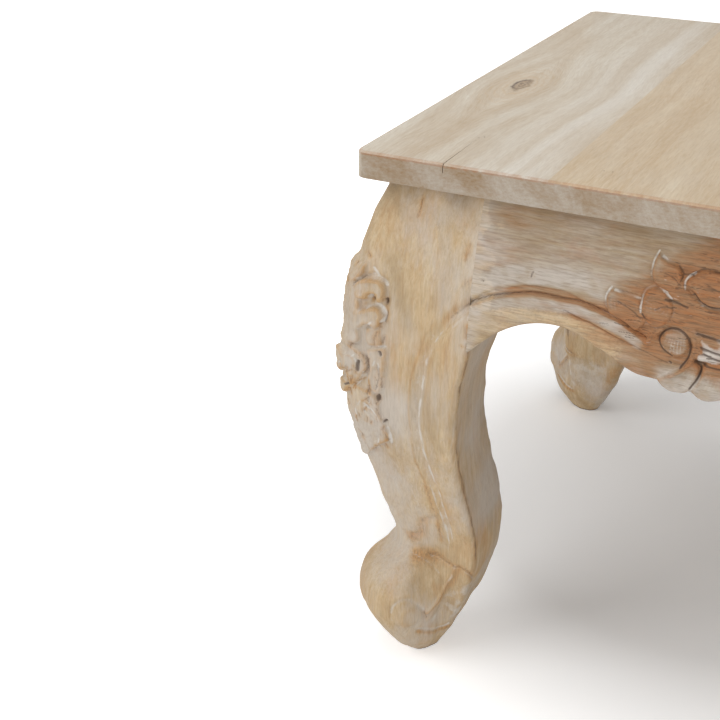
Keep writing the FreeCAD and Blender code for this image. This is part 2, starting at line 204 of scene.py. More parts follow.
# Knee leaf: lift and outline of each lobe, as sideways place and height
knee_lobes_mm = (
    (5, ((-4, 374), (4, 374), (9, 371.5), (11.5, 365), (11.5, 359), (7, 351), (-4, 347))),
    (4.6, ((-4, 353), (4, 349), (9, 342), (11, 334), (12, 320), (14, 306), (-4, 301))),
    (5.6, ((5, 347), (7.5, 351.5), (11, 354), (16, 356), (20.5, 356), (24, 353.5), (26, 349),
           (25.5, 343.5), (23, 338.5), (19, 338), (18, 342), (16.5, 343), (14.5, 338.5), (8, 338))),
    (4.8, ((9, 328), (14.5, 332.5), (18, 334.5), (22, 334.5), (25, 331), (25.5, 326), (24.5, 320),
           (22, 316), (20, 319), (17, 320), (13, 316), (9, 318))),
    (3, ((17, 318), (24, 319), (25.5, 311), (26.5, 304), (20, 302), (17, 310))),
    (5, ((-4, 304), (8, 303), (15, 297.5), (18, 291.5), (18, 285), (16, 278), (10, 266),
           (4, 259), (-4, 256))),
    (3.3, ((17.5, 298.5), (20, 301.5), (24, 302.5), (28, 302.5), (29, 292), (28, 278), (27.5, 268),
           (25, 262.5), (20, 264.5), (17.5, 274), (18.5, 288))),
    (3, ((-4, 268), (10, 267), (18, 264), (24, 261), (25.5, 254), (24.5, 245), (26, 238),
           (26.5, 230), (26.5, 221), (22, 217), (17, 210), (12, 204), (8, 199.5), (-4, 196))),
)
# Slope of the leaf's upper end
knee_top_mm = (369.5, 359)
# Bosses on the knee leaf: sideways place, height, half length, half width and lift
knee_bosses_mm = (
    (0, 286, 11.5, 6.5, 8.3),
    (7.5, 283, 11, 6, 5.6),
    (0, 262.5, 7, 6, 6.8),
)
boss_fullness = 2
# Where the leaf lies on the leg, and the small chips of its surface
leaf_rise = 0.002
chip_height = 0.00022
chip_wave = 0.0055
chip_waves = 16
# Cuts of the knee leaf: filled with white, rubbed to the wood, and dark
knee_cuts_mm = (
    ((4, 347.5), (6.5, 353), (10.5, 355.5), (15.5, 357.5), (20.5, 358), (25, 355)),
    ((5, 347), (7, 352), (10.5, 355), (14, 357.5), (16.5, 359.5)),
    ((15.5, 364), (17.5, 361.5), (20, 358), (23.5, 356), (25.5, 353)),
    ((19, 345.5), (16, 342), (15, 338), (15, 334)),
    ((14.5, 332), (16.5, 334.5), (20, 336), (22.5, 335.5), (24.5, 333), (26, 329.5), (25, 325)),
    ((20, 324), (18, 319.5)),
    ((20, 301.5), (23.5, 303), (27.5, 303.5)),
    ((20.5, 264.5), (23.5, 263)),
    ((16, 251), (19, 248), (21, 243)),
    ((15, 244.5), (18, 239.5), (21.5, 235)),
    ((27, 233.5), (27, 226), (26.5, 217.5)),
)
knee_veins_mm = (
    ((17.5, 342.5), (17, 339.5)),
    ((25.5, 342.5), (25, 338), (26.5, 332), (26, 325)),
    ((24.5, 324), (24.5, 319)),
    ((7.5, 373), (10.5, 371)),
    ((1, 363.5), (-1.5, 359.5)),
    ((15, 296), (17.5, 292), (18, 286), (16, 279.5)),
    ((8.5, 303), (9, 299)),
    ((10, 274.5), (9, 268)),
    ((23.5, 315.5), (23, 309), (23, 304)),
    ((27, 312), (26.5, 306.5)),
    ((24, 287.5), (25, 278.5), (24, 267.5)),
    ((26.5, 278), (27, 269.5)),
    ((24.5, 262.5), (25, 258), (23.5, 254)),
    ((23, 250.5), (23.5, 245), (24.5, 240)),
    ((22.5, 232.5), (24.5, 228), (26, 221.5)),
    ((16, 209), (14.5, 205.5)),
    ((19.5, 267.5), (18.5, 260)),
)
knee_holes_mm = (
    ((13, 289), (12.5, 285), (12.5, 281)),
    ((25.5, 299.5), (26, 297)),
    ((24.5, 260), (24.5, 256.5)),
    ((17.5, 341.5), (17.5, 340)),
    ((25.5, 342), (25.5, 339)),
    ((25.5, 238.5), (27, 239.5)),
    ((4, 264.5), (6.5, 266)),
)
knee_strokes = (
    (Stroke(1.2, 1, pale=1), *knee_cuts_mm),
    (Stroke(1.2, 1, dark=0.35, raw=0.9), *knee_veins_mm),
    (Stroke(1.5, 2.5, dark=0.7), *knee_holes_mm),
)

# Small gouge marks strewn over the lower leaf: kinds, number, and bounds of place, height, turn and length
white_chip = Stroke(0.8, 0.6, pale=0.7)
brown_chip = Stroke(0.8, 0.6, dark=0.33, raw=0.9)
white_chip_every = 3
knee_chip_count = 64
knee_chip_bounds_mm = ((0.5, 25), (206, 298), math.radians(45), (2.5, 7))

# Leg bead: both sides of the hollow beside the inner edge, as height and distance from the top's edge
bead_inner_mm = (
    (115, 80), (140, 75), (171.5, 70.5), (184.5, 67.5), (205, 64), (224.5, 60), (248, 58),
    (266, 59.5), (292, 62), (308, 67), (322, 73.5), (337, 83), (352, 97),
)
bead_outer_mm = (
    (115, 72), (150, 66), (176.5, 61), (197, 56), (221.5, 51.5), (245.5, 50.5),
    (263.5, 50.5), (281.5, 52), (300, 56.5), (322, 64), (340, 76), (357, 94),
)
# Where the hollow sets in at its foot and top, and bends into the apron's arch
bead_zone_mm = (("up", 108, 138), ("up", 362, 350))
bead_arch_mm = (315, 345)
# Slopes of the hollow on its outer and inner side, in parts of its width
bead_steepness = 1.1
bead_inner_slope = 0.28
# Tints across the hollow: place and width in parts of its width, and strength
Band = namedtuple("Band", "place width strength")
bead_shadow = Band(0.75, 0.2, 0.12)
arch_shadow = Band(0.75, 0.2, 0.2)
bead_line = Band(1, 0.09, 0.7)
arch_line = Band(1.5, 0.2, 0.56)
bead_wash = Band(0.6, 0.3, 0.25)
bead_rub = Band(0, 0.1, 0.6)
arch_rub = Band(0.6, 0.45, 0.9)
least_bead_share = 0.25
least_streak_share = 0.5
# Streaks on the leg's faces, as distance from the top's edge and height: white, rubbed and dark
face_strokes = (
    (Stroke(1.2, 0, pale=0.6),
     ((46.5, 171.5), (52, 157)), ((63, 183), (69, 152), (75, 119.5)), ((93, 339), (95.5, 345.5))),
    (Stroke(2, 0.3, dark=0.24, raw=1),
     ((59.5, 179.5), (65, 144.5), (66.5, 122)), ((95, 368.5), (91.5, 366), (90.5, 364)),
     ((94, 334), (94.5, 326.5)), ((88, 383), (90, 392))),
    (Stroke(1, 0.6, dark=0.4, raw=0.9),
     ((49, 418), (48.5, 406)), ((94.5, 332), (95, 327)), ((91, 319), (92, 318)),
     ((96, 320), (95.5, 318)), ((76, 428), (78, 424))),
)

# Painted shade: a soft shadow patch on the leg's faces beside the knee leaf
face_shade_mm = ((33, 370), (38, 356), (42, 343), (48, 326))
face_shade_width = 0.007
shade_patch_share = 0.5
# Painted shade on the leg's upper end, under the top
leg_shade_top_mm = (395, 425)
shade_top_share = 0.55
shade_waver = 0.5
# Joint of leg and apron: where it sets in, smeared wash and dark line
above_arch_mm = (300, 320)
leg_smear_width = 0.009
leg_seam_waver = 0.004
smear_share = 0.45
joint_line_width = 0.0011
joint_dark_share = 0.25
# Rubbed arrises of the leg, and a painted contact shadow as a dark line at the floor
arris_width = 0.0022
arris_zone_mm = (("up", 90, 120), ("up", 325, 305))
arris_dark_share = 0.45
least_arris_share = 0.65
contact_shadow_mm = (2.5, 0)
contact_shadow_share = 0.8
# Wash on the leg: below the knee, on the leaf, and uneven all over
low_wash_top_mm = (370, 250)
low_wash_foot_mm = (100, 150)
least_low_wash_share = 0.35
low_wash_share = 0.4
leaf_wash_share = 0.12
leg_wash_wave = 0.07
uneven_wash_share = 0.45
leg_chalk_bounds = (-0.6, 1)
# Growth rings show least on the faces that look outwards
least_figure_share = 0.3
# Each piece is cut from its own place in the grain
leg_grain_shift = 1
apron_grain_shift = 6
board_grain_shift = 11
grain_step = (0, 0, 0.91)

# Apron: shares of its half span and its depth, and lines as distance from its middle and height
apron_depth = 0.117
apron_edge_shares = (
    (1, 1), (0.88, 0.83), (0.64, 0.705), (0.46, 0.793), (0.33, 0.885), (0.233, 0.898))
apron_lobe_shares = (
    ((0.233, 0.898), (0.165, 0.942), (0.117, 0.92)),
    ((0.117, 0.92), (0.045, 0.948), (0, 0.93)),
)
apron_groove_mm = (
    (180, 351.5), (171, 356.5), (158.5, 362.5), (137, 367), (115.5, 368.5),
    (101, 368.5), (86.5, 365.5), (69.5, 360.5), (60.5, 355.5), (52, 352.5),
)
apron_fillet_mm = (
    (174, 357), (161, 365.5), (151.5, 368.5), (123, 372.5), (111.5, 373), (101, 369.5))
apron_hollow_mm = ((180, 352.5), (172, 357), (165, 360))
apron_nails_mm = ((172.5, 369.5), (171.5, 369.5)), ((137, 378), (136.5, 381.5))
apron_ribbon_mm = ((112, 361), (99.5, 357), (88.5, 354), (63.5, 346), (50, 342.5), (37, 340))
apron_carved_reach = 0.095
apron_carved_columns = 360
apron_plain_columns = 72
apron_row_count = 151
apron_under_rows = 10
apron_back_rows = 8
apron_end_fade = 0.004
apron_top_fade = 0.01

# Carved ornament of the apron: lift and outline of each lobe
apron_lobes_mm = (
    (2.2, ((80, 382), (82.5, 376.5), (82.5, 371), (80.5, 364), (70, 360.5), (60, 356.5),
           (54, 366), (58, 375), (63, 379), (71, 380.5))),
    (3, ((57.5, 368), (59.5, 375), (59.5, 380.5), (56.5, 386.5), (50.5, 389), (45, 386.5),
           (40.5, 382.5), (37, 375), (42, 366), (50, 362))),
    (2.6, ((53.5, 410.5), (56.5, 402.5), (56.5, 397), (53, 390), (46, 387), (38, 389),
           (36, 399), (39.5, 404), (46.5, 406))),
    (3.2, ((33.5, 393.5), (31.5, 399.5), (25.5, 403.5), (18, 405), (10, 404), (-6, 402.5),
           (-6, 382.5), (9, 381.5), (16, 382), (21.5, 384), (26, 388.5))),
    (1.6, ((44, 388), (36, 394), (26, 386), (12, 380), (-6, 380), (-6, 364),
           (24, 366), (40, 367), (52, 362), (56, 368))),
    (2.6, ((43, 327.5), (36, 321), (28, 317), (21, 322), (15.5, 333), (16, 342),
           (22, 346), (30, 338))),
    (3.2, ((20, 324.5), (12, 318), (-6, 316), (-6, 344), (14, 343.5), (15, 335))),
)
volute_mm = (34, 355)
volute_lift = 0.0026
volute_edge_mm = (10.8, 7.8)
volute_bead = Stroke(3, -1, tool="beader")
hatch_line = Stroke(0.5, 0.3, pale=0.38)
volute_hatch_mm = (-6, -4, -2, 0, 2, 4, 6)
volute_hatch_reach_mm = 7.5
volute_ring_mm = (
    (51.5, 349.5), (48, 356.5), (44.5, 362.5), (39.5, 366.5), (32.5, 367),
    (26.5, 364), (22.5, 359.5), (21.5, 354.5), (22.5, 348), (26.5, 339), (33, 333),
)
volute_spiral_mm = (
    (35, 346), (40.5, 349.5), (44, 356), (42.5, 361), (37.5, 364),
    (31, 364), (26, 360.5), (24, 356), (24.5, 348.5), (28.5, 339.5),
)
apron_cuts_mm = (
    ((80, 382), (83, 376.5), (83, 371), (81.5, 366)),
    ((77, 381), (71, 380), (61.5, 379)),
    ((59, 370.5), (60, 375), (60, 380.5), (56.5, 387), (50.5, 389), (45, 386.5), (40.5, 383)),
    ((53.5, 411), (56.5, 402.5), (57, 397), (53, 390.5)),
    ((50, 408), (46.5, 406), (39, 403.5)),
    ((32.5, 390), (34, 394.5), (31.5, 399.5), (29, 401.5)),
)
apron_veins_mm = (
    ((31.5, 399.5), (25.5, 404), (18, 405), (10, 403.5), (0, 402.5)),
    ((50, 374), (45, 377), (36, 378)),
    ((74, 374), (66, 371), (58, 366)),
    ((48, 398), (42, 396), (36, 392)),
    ((37, 394.5), (36, 399), (39, 403.5)),
    ((20, 396), (12, 393), (2, 392)),
)
apron_dark_mm = (
    ((26, 389), (21.5, 384.5), (16, 382), (9, 381.5), (0, 382.5)),
    ((44.5, 382.5), (38, 381.5), (29.5, 379.5)),
    ((55.5, 367.5), (57.5, 369.5)),
    ((36, 341), (35, 340.5)),
    ((20, 345.5), (15, 341.5), (15.5, 335.5), (20, 326)),
)
flute_lines_mm = (
    ((20.5, 363), (12, 361.5), (0, 360.5)),
    ((17.5, 355), (10, 353), (0, 351.5)),
    ((15, 351), (9, 349), (0, 348)),
    ((18.5, 345), (10, 343.5), (0, 343)),
)
flute_lift = 0.0022
flute_zone_mm = (("aside", 20, 17), ("up", 363, 361), ("up", 345, 347))
flute_pale_share = 0.7
apron_strokes = (
    (Stroke(1.1, 1.6, dark=0.85), *flute_lines_mm),
    (Stroke(1, 1, pale=0.75), *apron_cuts_mm),
    (Stroke(1, 0.8, dark=0.5, raw=0.6), *apron_veins_mm),
    (Stroke(1.1, 1.4, dark=0.85), *apron_dark_mm),
    (Stroke(1.1, 1.6, dark=0.9), volute_spiral_mm),
    (Stroke(0.9, 1, dark=0.2, raw=1, tool="gouge"), apron_groove_mm),
    # Thin dark line with no depth along the groove: painted shade in its bottom
    (Stroke(0.5, 0, dark=0.5, tool="gouge"), apron_groove_mm),
    (Stroke(2.2, 0.6, dark=0.22, raw=1, tool="gouge"), apron_hollow_mm),
    (Stroke(0.7, 0.4, dark=0.15, raw=0.9, tool="gouge"), apron_fillet_mm),
    (Stroke(0.7, 0.4, dark=0.4, raw=0.9, tool="gouge"), apron_ribbon_mm),
    (Stroke(1.2, 1, dark=0.55, raw=0.9), *apron_nails_mm),
)
# Fibres and white chips strewn over the rubbed middle of the apron
fleck = Stroke(0.6, 0.3)
dark_fleck_shares = (0.25, 0.6)
white_fleck_shares = (0.2, 0.45)
white_fleck_length_share = 0.25
white_fleck_every = 4
apron_fleck_count = 340
apron_fleck_bounds_mm = ((-95, 95), (346, 416), math.radians(9), (4, 15))
# The wash is rubbed off below this line, towards the apron's middle
rubbed_line_mm = ((85, 378), (32, 420))
rubbed_edge_mm = (-5.4, 12.6)
rubbed_reach_mm = (115, 75)
rubbed_foot_mm = (346, 334)
scallop_loss_share = 0.5
under_zone_mm = (("over", -1, -4), ("aside", 45, 65))
under_loss_share = 0.6
# Wash on the apron: band, ribbon, joint with the leg, volute and scallops
band_zone_mm = (("over", 5, 8), ("over", 24, 16), ("aside", 70, 100))
band_chalk_share = 0.8
ribbon_zone_mm = (("over", -2, -4), ("over", -12, -8), ("aside", 52, 62))
ribbon_fade_mm = (150, 100)
least_ribbon_share = 0.65
ribbon_chalk_share = 0.9
apron_seam_waver = 0.006
apron_seam_wave = 0.035
apron_smear_width = 0.016
seam_chalk_share = 0.8
volute_chalk_mm = (9.5, 7.5)
volute_chalk_share = 0.4
scallop_zone_mm = (("up", 342, 332), ("aside", 50, 34))
scallop_chalk_share = 0.75
apron_chalk_least = 0.5
apron_chalk_spread = 0.6
# Legs' colour on the apron: under the groove and beside the joint
kin_zone_mm = (("over", -1, -4), ("aside", 50, 80))
kin_share = 0.6
kin_seam_mm = (18, 2)
kin_waver_mm = 8
kin_wave = 0.02
seam_kin_share = 0.9
# Painted shade on the apron's upper edge, under the top
apron_shade_top_mm = (405, 425)
apron_shade_share = 0.4

# Marks on the top: the end check, the knot and small pin holes, in the table's plan
check_front_mm = (-206, -275)
check_end_mm = (-207.5, -205)
check_width = 0.0007
check_depth = 0.0065
check_overrun = 0.0014
check_bend_share = 0.55
check_bend_width_share = 0.35
knot_mm = (-232.5, -52.5)
pin_holes_mm = {
    "top_board_1": ((-207, -207.5), (-204, -203.5)),
    "top_board_2": ((-103, -238), (-97, -237.5)),
}
pin_sides = 8
pin_radius = 0.0006
pin_depth = 0.002
# How much warmer than the palest board each board is
board_warmth = {"top_board_1": 0, "top_board_2": 0.7, "top_board_3": 0.25, "top_board_4": 0.5}
corner_segments = 5
arris_segments = 3
joint_segments = 1
board_sharp_angle = math.radians(28)

# Pegs and screws: sizes in metres, sides, and shares of the screw's shank and head
peg_sizes = {"Radius": 0.004, "Length": 0.04, "Chamfer": 0.0006}
peg_sides = 18
screw_sizes = {"Head Radius": 0.004, "Head Height": 0.0024, "Shank Radius": 0.002, "Length": 0.038}
screw_head_sides = 24
screw_shank_sides = 12
screw_tip_share = 0.7
screw_slot_length_share = 1.5
screw_slot_width_share = 0.28
# Corners closer than this are one, and so are radii
merge_gap = mm / 100
same_radius_gap = mm / 10

# Noise in the finishes: stretch along each axis, detail, roughness, distortion and range of values
Noise = namedtuple("Noise", "stretch detail roughness distortion bounds", defaults=(0, (0, 1)))
fibre_noise = Noise((700, 700, 60), 3, 0.7, 0.6, (0.38, 0.62))
streak_noise = Noise((170, 170, 15), 6, 0.72, 0.8, (0.38, 0.62))
pore_noise = Noise((780, 780, 75), 3, 0.65, 0.3, (0.44, 0.72))
drift_noise = Noise((26, 26, 1.6), 2, 0.5)
patch_noise = Noise((20, 20, 9), 5, 0.62, 0.4)
brush_noise = Noise((230, 230, 30), 4, 0.68, 0.6)
chip_noise = Noise((520, 520, 420), 3, 0.65)
golden_noise = Noise((38, 38, 16), 6, 0.68, 0.4, (0.5, 0.7))
dull_noise = Noise((26, 26, 11), 6, 0.68, 0.4, (0.48, 0.68))
rub_noise = Noise((60, 60, 9), 4, 0.65, 0, (0.3, 0.6))
ragged_noise = Noise((170, 110, 170), 3, 0.6, 0, (0.3, 0.7))
figure_noise = Noise((46, 46, 1.3), 3, 0.5, 0.25, (0.36, 0.64))
cloud_noise = Noise((13, 13, 8), 5, 0.62, 0.5, (0.42, 0.66))
speckle_noise = Noise((300, 300, 700), 3, 0.6, 0, (0.35, 0.65))
smudge_noise = Noise((34, 14, 15), 6, 0.7, 0.8, (0.36, 0.64))
worn_noise = Noise((160, 160, 160), 3, 0.6, 0, (0.3, 0.5))
plating_noise = Noise((900, 900, 900), 3, 0.55, 0, (0.3, 0.7))

# Grain: turn to each axis, growth rings and pores
grain_turns = {"Z": (0, 0, 0), "X": (0, math.pi / 2, 0), "Y": (math.pi / 2, 0, 0)}
pith_place = (0.14, 0.14, 0)
ring_stretch = (1, 1, 0.03)
pore_colour = (104, 80, 56)
# Top: pale strip beside the first joint, end grain and arrises
strip_start = 0.07
strip_end = 0.02
smudge_turn = (0, math.radians(35), 0)
end_wash_share = 0.5
top_arris_share = 0.32
# Knot: bend of the grain, rings and rims
knot_reach = 0.075
knot_fall = 14
knot_push = 0.03
knot_stretch = (1.2, 0.42, 0.3)
knot_waver = 0.0022
knot_ring_turns = 1100
knot_rim_radius = 0.007
knot_rim_width = 0.0018
knot_inner_radius = 0.0026
knot_inner_width = 0.0009
knot_inner_share = 0.6
# Shaded steel
steel_shade = (120, 112, 98)
steel_gloss_bounds = (0.2, 0.8)

# Floor, and place and size of each lamp
floor_reach = 4
floor_middle = (-0.05, 0.1, 0)
floor_glow_reach = (0.25, 0.6)
lamps = {
    "top": ((-0.2, 0.1, 2.6), 2.2),
    "key": ((-1.9, -1.8, 1.9), 1.6),
    "fill": ((0.9, -2.2, 0.7), 1.8),
}

# View of the photograph: focal length and optical centre in pixels of a square picture
picture_side = 720
focal_pixels = 1229.6
optical_row = 290
camera_place = (0.1156, -1.0181, 0.7193)
camera_yaw = 0.4789
camera_pitch = 0.4239
sensor_width_mm = 36

quarter_names = ("front_left", "front_right", "back_right", "back_left")
side_names = ("front", "right", "back", "left")
board_names = sorted(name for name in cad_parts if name.startswith("top_board"))


def paint(red, green, blue):
    """Linear colour of a screen colour."""
    linear = []
    for value in (red, green, blue):
        part = value / 255
        linear.append(part / 12.92 if part <= 0.04045 else ((part + 0.055) / 1.055) ** 2.4)
    return tuple(linear)


def colour(name, description, screen):
    """Colour property with a screen colour as its default."""
    return bpy.props.FloatVectorProperty(
        name=name, description=description, subtype="COLOR", size=3, min=0, max=1, default=paint(*screen))


def length(name, description, default):
    """Length property in metres."""
    return bpy.props.FloatProperty(
        name=name, description=description, default=default, min=0, precision=4,
        unit="LENGTH", subtype="DISTANCE")


def factor(name, description, default):
    """Property from 0 to 1."""
    return bpy.props.FloatProperty(
        name=name, description=description, default=default, min=0, max=1, subtype="FACTOR")


def power(name, description, default):
    """Lamp power in watts."""
    return bpy.props.FloatProperty(name=name, description=description, default=default, min=0, unit="POWER")


class CarvingSettings(bpy.types.PropertyGroup):
    """Depths and widths of the carving."""
    bead_depth: length("Bead hollow", "Hollow beside the leg's bead", 0.0022)
    groove_depth: length("Apron groove", "Groove over the apron's arch", 0.0028)
    groove_width: length("Groove width", "Half width of the apron's groove", 0.0012)
    cut_depth: length("Cut depth", "Depth of the outline cuts", 0.0010)
    cut_width: length("Cut width", "Half width of the outline cuts", 0.0008)
    edge_step: length("Lobe edge", "Width of the slope at a lobe's edge", 0.0015)
    edge_roll: length("Edge roll", "Roll on the apron's lower edge", 0.0035)
    tool_marks: length("Tool marks", "Height of the uneven tool marks", 0.0003)
    ring_lift: length("Volute ring", "Height of the ring round the volute", 0.0020)
    eye_lift: length("Toe eye", "Height of the eye on the toe", 0.0022)
    hollow_depth: length("Toe hollow", "Depth of the hollow behind the toe", 0.0026)


class BoardSettings(bpy.types.PropertyGroup):
    """Edges of the top's boards."""
    arris: length("Arris", "Radius of the top's eased edges", 0.0025)
    corner: length("Corner", "Radius of the top's corners", 0.009)
    joint: length("Joint", "Chamfer where two boards meet", 0.00025)


class FinishSettings(bpy.types.PropertyGroup):
    """Colours of the washed wood and the fixings."""
    top_pale: colour("Top, pale", "Pale grain of the top", (210, 203, 189))
    top_deep: colour("Top, deep", "Browner grain of the top", (180, 160, 134))
    top_edge: colour("Top, end grain", "End grain of the top", (155, 138, 114))
    leg_pale: colour("Leg, pale", "Pale grain of the legs", (208, 187, 153))
    leg_deep: colour("Leg, deep", "Tan grain of the legs", (186, 156, 117))
    leg_raw: colour("Leg, rubbed", "Golden wood on the legs' rubbed edges", (188, 138, 84))
    apron_pale: colour("Apron, pale", "Pale grain of the aprons", (174, 155, 127))
    apron_deep: colour("Apron, deep", "Tan grain of the aprons", (148, 122, 92))
    apron_raw: colour("Apron, rubbed", "Red-brown wood under the wash", (166, 102, 54))
    # Also the colour of the painted shade under the top and beside the knee leaf
    stain_and_shade: colour("Stain", "Dull brown patches", (158, 136, 106))
    wash: colour("Wash", "Chalky wash over the wood", (203, 196, 188))
    fill: colour("Fill", "White filler in the cuts", (216, 211, 203))
    # Also the colour of painted shade: the contact shadow at the floor, the shadow in the bead's hollow and
    # the line in the apron's groove
    cut: colour("Cuts", "Dark bottom of the deep cuts", (66, 48, 38))
    sawn: colour("Sawn wood", "Plain sawn wood under the top", (196, 168, 126))
    steel: colour("Steel", "Plated steel of the screws", (176, 168, 150))
    wash_share: factor("Wash share", "How much of the wood the wash covers", 0.36)


class StageSettings(bpy.types.PropertyGroup):
    """Floor and light."""
    floor: colour("Floor", "Colour of the floor", (244, 244, 244))
    near_glow: factor("Near glow", "White added under the table", 0.13)
    far_glow: factor("Far glow", "White added far from the table", 0.9)
    top_power: power("Top lamp", "Large lamp overhead", 30)
    key_power: power("Key lamp", "Large lamp on the left", 28)
    fill_power: power("Fill lamp", "Lamp in front", 19)
    sky: factor("Sky", "Strength of the even light from all round", 0.3)


# Shapes from formulas

def smooth_through(places, values, at):
    """Smooth curve through places and values, at other places."""
    places = np.asarray(places, float)
    values = np.asarray(values, float)
    slopes = np.gradient(values, places)
    index = np.clip(np.searchsorted(places, at) - 1, 0, len(places) - 2)
    width = places[index + 1] - places[index]
    part = np.clip((at - places[index]) / width, 0, 1)
    rest = 1 - part
    start = (1 + 2 * part) * rest ** 2 * values[index] + part * rest ** 2 * width * slopes[index]
    end = (3 - 2 * part) * part ** 2 * values[index + 1] - rest * part ** 2 * width * slopes[index + 1]
    return start + end


def smooth_line(points, count=40):
    """Even points on a smooth curve through points."""
    points = np.asarray(points, float)
    steps = np.linalg.norm(np.diff(points, axis=0), axis=1)
    along = np.concatenate([[0], np.cumsum(steps)])
    at = np.linspace(0, along[-1], count)
    return np.stack([smooth_through(along, points[:, axis], at) for axis in range(2)], axis=1)


def line_distance(u, v, line):
    """Distance of the points (u, v) from a line of points."""
    nearest = np.full(u.shape, np.inf)
    for start, end in zip(line, line[1:]):
        step = end - start
        part = ((u - start[0]) * step[0] + (v - start[1]) * step[1]) / (step @ step)
        part = np.clip(part, 0, 1)
        gap = np.hypot(u - start[0] - part * step[0], v - start[1] - part * step[1])
        nearest = np.minimum(nearest, gap)
    return nearest


def is_within(u, v, ring):
    """Whether the points (u, v) lie inside a closed line of points."""
    crossings = np.zeros(u.shape, int)
    for start, end in zip(ring, ring[1:]):
        spans = (start[1] > v) != (end[1] > v)
        rise = end[1] - start[1]
        if rise:
            crossing = start[0] + (v - start[1]) / rise * (end[0] - start[0])
            crossings += spans & (u < crossing)
    return crossings % 2 == 1


def ease(value):
    """Soft step from 0 to 1."""
    value = np.clip(value, 0, 1)
    return value * value * (3 - 2 * value)


def ramp(value, bounds):
    """Soft step from 0 at the first bound to 1 at the second."""
    start, end = bounds
    return ease((value - start) / (end - start))


def zone(limits_mm, **places_mm):
    """Product of soft steps along named directions."""
    share = 1.0
    for direction, *bounds in limits_mm:
        share = share * ramp(places_mm[direction], bounds)
    return share


def lifted(value, least):
    """Share that falls no lower than a least share."""
    return least + (1 - least) * value


def bell(value, width):
    """Soft peak round zero."""
    return np.exp(-(value / width) ** 2)


def soften(field, times, wrap=False):
    """Field of a grid evened out a number of times."""
    mode = "wrap" if wrap else "edge"
    for _ in range(times):
        rows = np.pad(field, ((1, 1), (0, 0)), mode="edge")
        field = (rows[:-2] + 2 * rows[1:-1] + rows[2:]) / 4
        columns = np.pad(field, ((0, 0), (1, 1)), mode=mode)
        field = (columns[:, :-2] + 2 * columns[:, 1:-1] + columns[:, 2:]) / 4
    return field


def wobble(points, wavelength, seed, waves=10):
    """Smooth uneven values over points, mostly from -1 to 1."""
    draw = np.random.default_rng(seed)
    total = np.zeros(points.shape[:-1])
    for _ in range(waves):
        direction = draw.normal(size=points.shape[-1])
        length_here = wavelength * draw.uniform(*wave_spread_shares)
        direction *= 2 * math.pi / (np.linalg.norm(direction) * length_here)
        total += np.sin(points @ direction + draw.uniform(0, 2 * math.pi))
    return total / math.sqrt(waves)


class Relief:
    """Carved height and finish masks over the points (u, v) of one surface."""

    def __init__(self, u, v, carving, broken):
        self.u = u
        self.v = v
        self.edge_step = carving.edge_step
        self.broken = broken
        self.tools = {
            "chisel": (carving.cut_width, carving.cut_depth),
            "gouge": (carving.groove_width, carving.groove_depth),
            "beader": (carving.cut_width, carving.ring_lift),
        }
        self.height, self.dark, self.pale, self.raw = [np.zeros(u.shape) for _ in range(4)]

    def boss(self, boss_mm):
        """Raise a rounded oval."""
        across, up, half_length, half_width, lift = boss_mm
        along = (self.v - up * mm) / (half_length * mm)
        aside = (self.u - across * mm) / (half_width * mm)
        dome = np.sqrt(np.maximum(1 - along ** 2 - aside ** 2, 0))
        self.height = np.maximum(self.height, lift * mm * ease(boss_fullness * dome))

    def around(self, line, reach):
        """Which points lie in the box of a line, grown by a reach."""
        low = line.min(axis=0) - reach
        high = line.max(axis=0) + reach
        return (self.u > low[0]) & (self.u < high[0]) & (self.v > low[1]) & (self.v < high[1])

    def lobe(self, lift_mm, outline_mm):
        """Raise a lobe inside a closed outline, with a dished middle and lines along its edge."""
        ring = smooth_line((*outline_mm, outline_mm[0]), lobe_outline_points) * mm
        near = self.around(ring, 0)
        u, v = self.u[near], self.v[near]
        depth = line_distance(u, v, ring) * is_within(u, v, ring)
        rims = depth / self.edge_step
        dish = lobe_dish_share * ramp(rims, lobe_dish_rims)
        lines = lobe_line_depth * ease(rims - 1) * np.cos(2 * math.pi * depth / lobe_line_step)
        lifted_lobe = lift_mm * mm * np.sqrt(ease(rims)) * (1 - dish) + lines
        self.height[near] = np.maximum(self.height[near], lifted_lobe)

    def stroke(self, points_mm, cut):
        """Cut a groove along a smooth line, or raise a bead, and tint it."""
        tool_width, tool_depth = self.tools[cut.tool]
        width = cut.width_share * tool_width
        line = smooth_line(np.array(points_mm) + cut.moved_mm) * mm
        near = self.around(line, stroke_reach_widths * width)
        gap = line_distance(self.u[near], self.v[near], line)
        self.height[near] -= cut.depth_share * tool_depth * bell(gap, width)
        tints = (
            (self.dark, cut.dark, dark_width_share), (self.raw, cut.raw, raw_width_share),
            (self.pale, cut.pale * self.broken[near], pale_width_share))
        for field, strength, width_share in tints:
            field[near] = np.maximum(field[near], strength * bell(gap, width_share * width))

    def carve(self, strokes):
        """Cut all the lines of a table of strokes."""
        for cut, *lines_mm in strokes:
            for points_mm in lines_mm:
                self.stroke(points_mm, cut)


# Meshes

def sheet(x, y, z):
    """Grid of points from three grids."""
    return np.stack(np.broadcast_arrays(x, y, z), axis=-1)


def grid_quads(row_count, column_count):
    """Corner numbers of a grid's quads, closed round its columns."""
    numbers = np.arange(row_count * column_count).reshape(row_count, column_count)
    beside = np.roll(numbers, -1, axis=1)
    quads = np.stack([numbers[:-1], beside[:-1], beside[1:], numbers[1:]], axis=-1)
    return quads.reshape(-1, 4)


